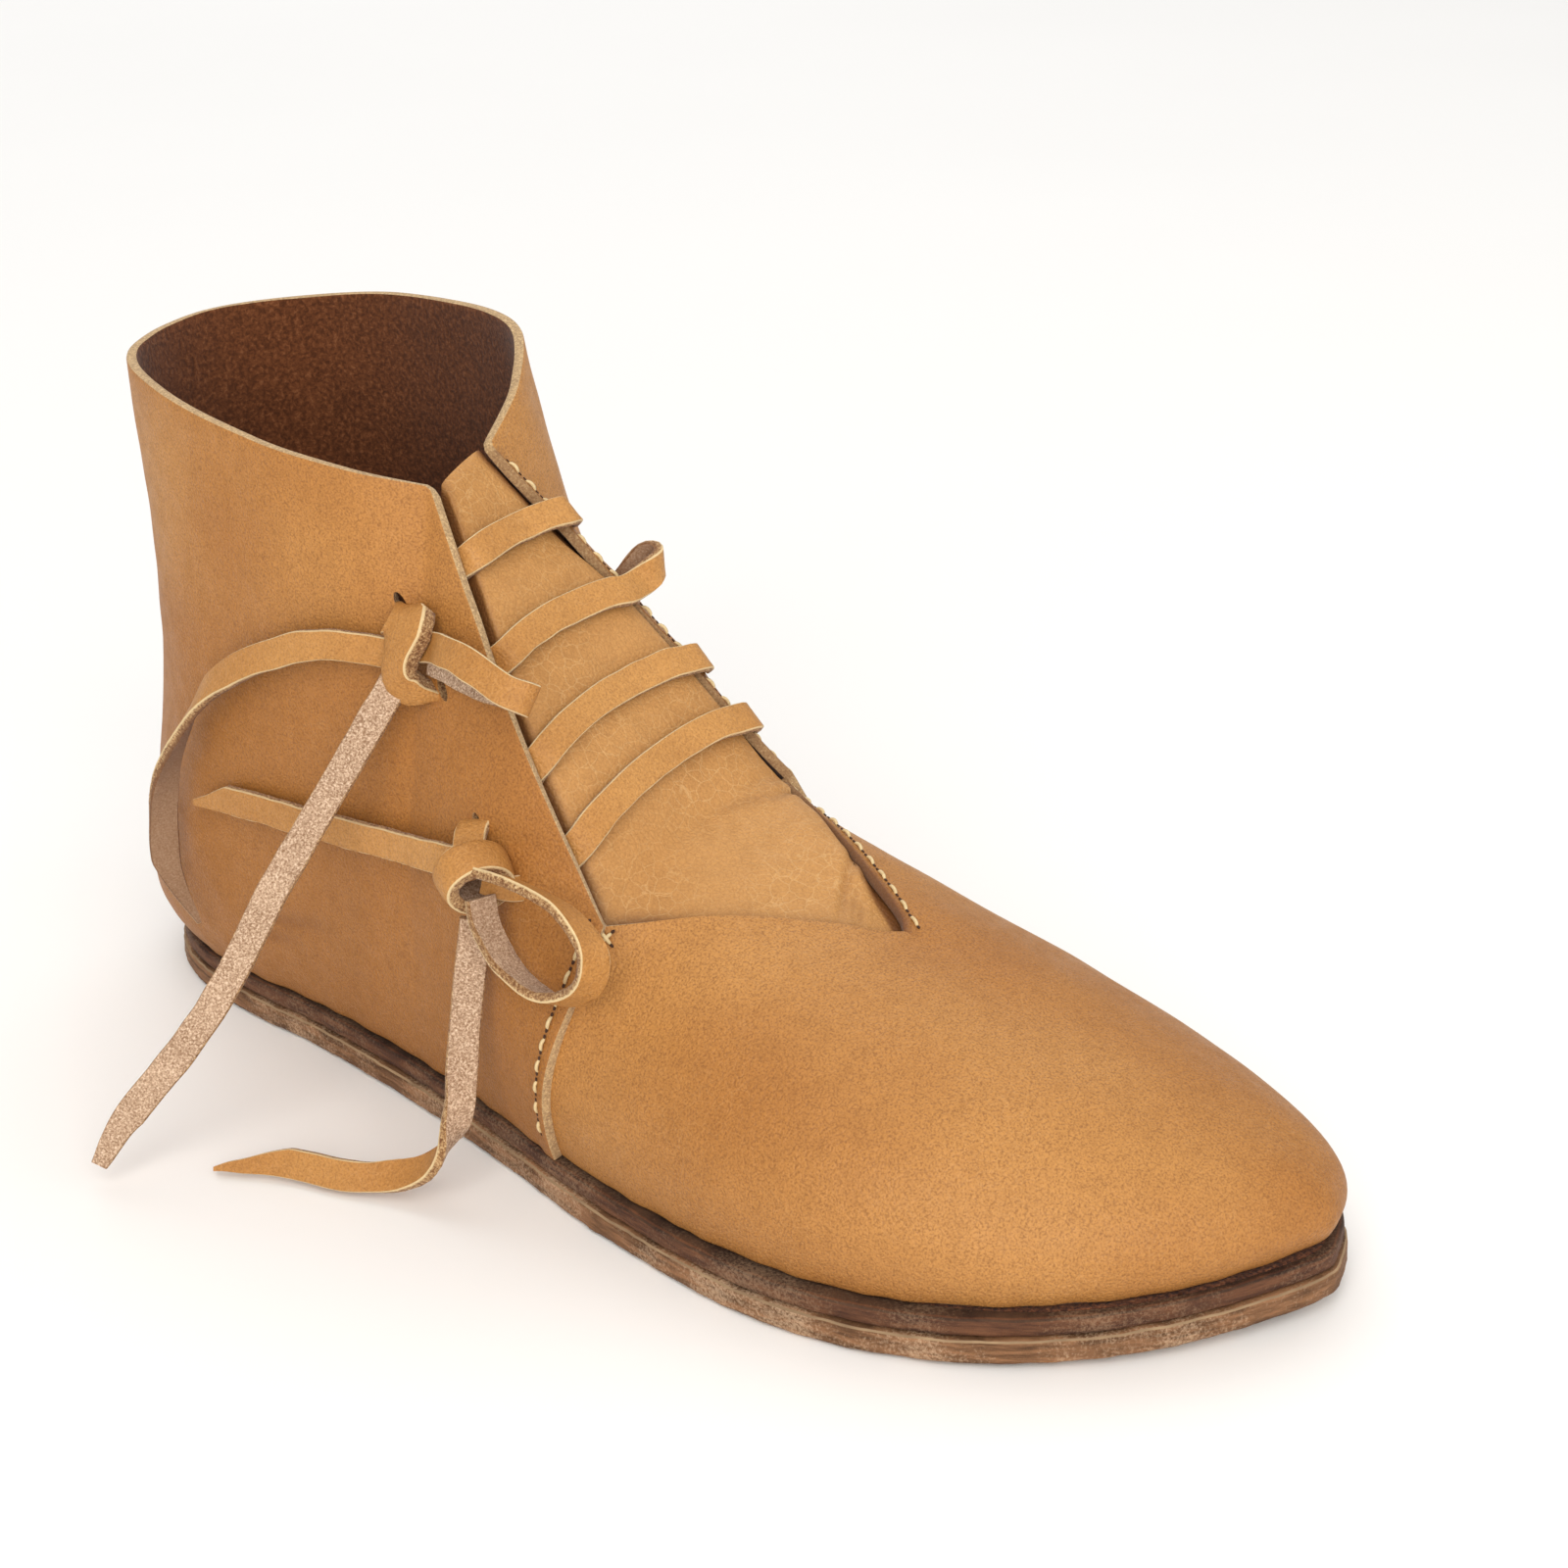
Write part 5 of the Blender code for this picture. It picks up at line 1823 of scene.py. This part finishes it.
    def lace(self, name: str, rows: Sequence[int]) -> None:
        """One thong from under the outer quarter over the tongue, inside, and back again.

        Args:
            name: name of the piece.
            rows: numbers of its two crossings.
        """
        first, second = (LACE_ROWS[number] for number in rows)
        out, out_across = self.bar(first)
        back, back_across = self.bar(second)
        hidden, hidden_across = self.inside_turn(first, second)
        if np.dot(hidden_across[0], out_across[-1]) < 0:
            hidden_across = -hidden_across
        path = np.concatenate([out, hidden, back[::-1]])
        across = np.concatenate([out_across, hidden_across, -back_across[::-1]])
        piece, _ = self.thong.sweep(name, path, across, self.materials, dim=self.dimmed.get(name, 0.0))
        on_boot(piece, "thong", *(f"lace_bar_{number + 1}" for number in rows))

    def ring(self, knot: Knot) -> bpy.types.Object:
        """Turn of thong round a tie.

        Its middle line is an ellipse round the axis; across it the turn runs along the axis and
        narrows by the flare.

        Args:
            knot: place and size of the turn.

        Returns:
            The new object.
        """
        axis = unit(np.array(knot.axis))
        out = np.array(KNOT_OUTWARD)
        out = unit(out - axis * np.dot(out, axis))
        sideways = np.cross(out, axis)
        turn = np.radians(np.linspace(knot.from_deg, knot.to_deg, self.ring_steps))[:, None]
        ring = sideways * knot.along * np.cos(turn) + out * knot.out * np.sin(turn)
        across = knot.flare * unit(ring) - axis
        piece, _ = self.band.sweep(
            knot.name + "_band", np.array(knot.centre) + ring, across, self.materials, cup=self.band_cup,
        )
        return on_boot(piece, "thong", knot.name)

    def turn_of_tie(self, upper: Slit, lower: Slit) -> bpy.types.Object:
        """Broad turn that holds the upper tie, between two slits."""
        normal = unit(upper.normal + lower.normal)
        line, across, wide = self.hook.route(upper.centre, lower.centre, normal)
        piece, _ = self.hook_band.sweep(
            "upper_knot_band", line, across, self.materials,
            narrow=wide / self.hook_band.wide, cup=self.hook_cup,
        )
        return on_boot(piece, "thong", "upper_knot")

    def strand(self, name: str, slit: Slit, across: Sequence[float], wide: float) -> None:
        """Short visible way of the lower thong between a slit and its tie.

        Args:
            name: name of the piece.
            slit: slit that it comes out by.
            across: direction across the strip.
            wide: width as a share of the thong's.
        """
        ring = np.array(LOWER_KNOT.centre)
        path = np.array([
            slit.centre - 4.0 * slit.normal,
            slit.centre + 1.5 * slit.normal,
            0.6 * slit.centre + 0.4 * ring + 2.4 * slit.normal,
            0.25 * slit.centre + 0.75 * ring + 1.2 * slit.normal,
        ])
        turned = np.broadcast_to(np.array(across, float), path.shape)
        piece, _ = self.thong.sweep(name, path, turned, self.materials, narrow=np.full(len(path), wide))
        on_boot(piece, "thong")

    def build(self, slits: Sequence[Slit]) -> None:
        """Makes the laces, ties, loops and ends.

        Args:
            slits: the lace slits, outer and inner in turn.
        """
        self.lace("upper_lace", (0, 1))
        self.lace("lower_lace", (2, 3))
        outer = slits[::2]
        ties = {"upper_loop": [self.turn_of_tie(outer[0], outer[1])], "lower_loop": [self.ring(LOWER_KNOT)]}
        self.strand("lower_strand_top", outer[2], (-0.60, 0.75, -0.10), 1.0)
        self.strand("lower_strand_side", outer[3], (-0.30, 0.30, 0.90), 0.8)
        for name, route in ROUTES.items():
            rows = np.array(route)
            piece, line = self.thong.sweep(
                name + "_thong", rows[:, :3], rows[:, 3:], self.materials,
                tip=self.tips.get(name), dim=self.dimmed.get(name, 0.0),
            )
            on_boot(piece, "thong", name)


# Stitching


@dataclass
class Stitching:
    """Running stitches of waxed linen thread along the throat's inner edge and the side seams."""

    form: BootForm
    wardrobe: Wardrobe
    pitch: float = 4.8
    long: float = 3.1
    thread: float = 0.37
    edge_offset: float = 2.2
    side_offset: float = 0.09
    past_point: tuple[Span, ...] = ((11.25, 0.972), (11.13, 0.965))
    tied_at: Span = (0.05, 0.955)
    clearance: float = 0.1
    hole_at: float = 0.56
    hole_half: tuple[float, float, float] = (0.5, 0.34, 0.16)
    line_steps: int = 60
    ring: int = 7
    steps: int = 8
    hole_steps: int = 6

    def rows_along(self, rib: Array, share: Array, rise: Array) -> tuple[Array, Array, Array]:
        """Centres, directions and normals of stitches spaced along a line on the upper.

        Args:
            rib: ribs of the line's points.
            share: shares of the line's points.
            rise: height of the leather over the plain form at each.

        Returns:
            One row for each stitch.
        """
        normal = self.form.face_normal(rib, share)
        line = self.form.outer_face(rib, share) + normal * (rise + self.clearance)[:, None]
        passed = travel(line)

        def along(values: Array, places: Array) -> Array:
            """Rows of values at distances along the line."""
            return np.stack([np.interp(places, passed, column) for column in values.T], axis=1)

        at = np.arange(self.pitch * 0.6, passed[-1] - self.pitch * 0.4, self.pitch)
        centre = along(line, at)
        return centre, unit(along(line, at + 0.8) - centre), unit(along(normal, at))

    def lines(self) -> list[tuple[Array, Array, Array]]:
        """The seams: throat edge with its run past the point, outer side, inner side, and a tied end."""
        form = self.form
        ribs = np.concatenate([
            np.linspace(RIB_NUMBER["corner_inner"] - 0.04, SEAM_INNER, self.line_steps),
            np.linspace(SEAM_INNER - 0.02, TOE_RIB + 1.1, self.line_steps),
        ])
        shares = form.share_below(ribs, np.full((len(ribs), 1), self.edge_offset))[:, 0]
        past = np.array(self.past_point)
        ribs, shares = np.concatenate([ribs, past[:, 0]]), np.concatenate([shares, past[:, 1]])
        found = [self.rows_along(ribs, shares, np.where(ribs > SEAM_INNER, form.lap_at(ribs), 0.0))]
        share = np.linspace(0.97, 0.05, self.line_steps)
        for rib in (SEAM_OUTER - self.side_offset, SEAM_INNER + self.side_offset):
            ribs = np.full(self.line_steps, rib)
            found.append(self.rows_along(ribs, share, form.lap_at(ribs)))
        found.append(self.tied_end())
        return found

    def tied_end(self) -> tuple[Array, Array, Array]:
        """Two short crossing stitches that tie off the outer seam at its top."""
        rib, share = SEAM_OUTER + self.tied_at[0], self.tied_at[1]
        up = self.form.face_normal(rib, share)
        down = self.form.outer_face(rib, share - 0.02) - self.form.outer_face(rib, share)
        ways = [unit(down + turn * np.cross(down, up)) for turn in (0.5, -1.6)]
        centre = self.form.outer_face(rib, share) + up * 0.5
        return np.array([centre, centre + up * 0.35]), np.array(ways), np.array([up, up])

    def scatter(self, name: str, points: Array, face: Array, finish: bpy.types.Material) -> None:
        """Adds blocks of rings of points, one block for each stitch or hole, as one mesh.

        Args:
            name: name of the piece.
            points: places by block, ring and place in the ring.
            face: faces of one block.
            finish: its material.
        """
        block = points.shape[1] * points.shape[2]
        shift = (np.arange(len(points)) * block)[:, None, None]
        on_boot(add_mesh(name, points, (face + shift).reshape(-1, 4), [finish]), "upper")

    def build(self) -> None:
        """Makes all stitches as one mesh of bent spindles, and the awl holes as another of small dark domes,
        painted shadow in the holes.
        """
        rows = [np.concatenate(column) for column in zip(*self.lines())]
        centre, ahead, up = (column[:, None, None, :] for column in rows)
        aside = np.cross(ahead, up)
        along = np.linspace(-1, 1, self.steps)[None, :, None, None]
        turn = np.linspace(0, 2 * math.pi, self.ring, endpoint=False)[None, None, :, None]
        radius = self.thread * np.sqrt(np.maximum(1 - along ** 6, 0.04))
        arch = self.thread * (0.9 - 1.5 * along ** 2)
        points = centre + ahead * along * self.long / 2 + up * arch
        points = points + radius * (aside * np.cos(turn) + up * np.sin(turn))
        faces = grid_faces(self.steps, self.ring, closed=True)[:, ::-1]
        self.scatter("seam_stitches", points, faces, self.wardrobe.thread)
        # Awl holes: dark domes at both ends of each stitch, painted shadow where the holes are
        long, wide, high = self.hole_half
        tilt = np.linspace(0, math.pi, self.hole_steps)[None, :, None, None]
        dome = (ahead * long * np.cos(turn) + aside * wide * np.sin(turn)) * np.sin(tilt)
        dome = dome + up * high * np.cos(tilt)
        reach = ahead * self.long * self.hole_at
        points = np.concatenate([centre - reach + dome, centre + reach + dome])
        faces = grid_faces(self.hole_steps, self.ring, closed=True)
        self.scatter("awl_hole_shadows", points, faces, self.wardrobe.hole)


# Studio


@dataclass(frozen=True)
class Lamp:
    """Square area light: its place and size in metres, its power in watts and its colour."""

    name: str
    place: tuple[float, float, float]
    size: float
    power: float
    colour: str = "FFFFFF"


@dataclass(frozen=True)
class Studio:
    """Pale floor, soft light and the camera at the photograph's angle."""

    azimuth_deg: float = -48.202
    elevation_deg: float = 24.325
    roll_deg: float = -1.854
    distance: float = 584.544
    target: tuple[float, float, float] = (41.925, 10.024, 50.0)
    focal_px: float = 2816.141
    image_px: float = 1600.0
    sensor_mm: float = 36.0
    clip: Span = (0.01, 20.0)
    floor_half: float = 4.0
    floor_z: float = -0.0003
    floor: PlainFinish = PlainFinish("pale_floor", "F4F3F1", "F1F0EE", 300.0, 0.9)
    lit_at: tuple[float, float, float] = (0.0, 0.0, 0.05)
    surround: float = 0.52
    lamps: tuple[Lamp, ...] = (
        Lamp("overhead_light", (1.0, 1.3, 2.1), 3.6, 40.0),
        Lamp("key_light", (-1.05, -0.95, 1.0), 1.8, 31.0, "FFFAF4"),
        Lamp("fill_light", (0.7, -1.4, 0.8), 1.2, 3.5),
    )

    def put(self, data: bpy.types.ID, place: Any, right: Array, back: Array) -> bpy.types.Object:
        """Object of a camera or light at a place in metres, looking against back."""
        matrix = np.eye(4)
        matrix[:3] = np.stack([right, np.cross(back, right), back, np.asarray(place)], axis=1)
        holder = bpy.data.objects.new(data.name, data)
        holder.matrix_world = Matrix(matrix.tolist())
        bpy.context.scene.collection.objects.link(holder)
        return holder

    def camera(self) -> None:
        """Camera at target + distance * back, rolled about its own axis."""
        turn, tilt, roll = (math.radians(v) for v in (self.azimuth_deg, self.elevation_deg, self.roll_deg))
        back = np.array([
            math.sin(turn) * math.cos(tilt), -math.cos(turn) * math.cos(tilt), math.sin(tilt),
        ])
        right = unit(np.cross(-back, np.array([0.0, 0.0, 1.0])))
        rolled = math.cos(roll) * right + math.sin(roll) * np.cross(right, -back)
        lens = bpy.data.cameras.new("camera")
        lens.sensor_width = self.sensor_mm
        lens.lens = self.focal_px * self.sensor_mm / self.image_px
        lens.clip_start, lens.clip_end = self.clip
        place = (np.array(self.target) + back * self.distance) * MM
        bpy.context.scene.camera = self.put(lens, place, rolled, back)

    def light(self, lamp: Lamp) -> None:
        """Adds one light, turned to the boot."""
        data = bpy.data.lights.new(lamp.name, "AREA")
        data.size = lamp.size
        data.energy = lamp.power
        data.color = linear(lamp.colour)[:3]
        back = unit(np.array(lamp.place) - np.array(self.lit_at))
        right = unit(np.cross(np.array([0.0, 1.0, 0.001]), back))
        self.put(data, lamp.place, right, back)

    def build(self) -> None:
        """Makes camera, floor, lights and a pale surround."""
        self.camera()
        half, height = self.floor_half / MM, self.floor_z / MM
        corners = np.array([(x * half, y * half, height) for x, y in ((-1, -1), (1, -1), (1, 1), (-1, 1))])
        floor = add_mesh("floor", corners, [(0, 1, 2, 3)], [self.floor.build()])
        for lamp in self.lamps:
            self.light(lamp)
        world = bpy.data.worlds.new("surround")
        world.use_nodes = True
        feed(world.node_tree, world.node_tree.nodes["Background"], {
            "Color": linear("FFFFFF"), "Strength": self.surround,
        })
        bpy.context.scene.world = world
        bpy.context.scene.view_settings.view_transform = "Standard"


def main() -> None:
    """Builds camera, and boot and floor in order."""
    logging.basicConfig(level=logging.INFO, format="%(name)s %(message)s")
    Studio().build()
    wardrobe = Wardrobe.build()
    form = BootForm()
    upper = Upper(form, wardrobe)
    Lacing(form, wardrobe).build(upper.slits())
    upper.build()
    Tongue(form, wardrobe).build()
    Sole(form, wardrobe).build()
    Stitching(form, wardrobe).build()


if __name__ == "__main__":
    main()
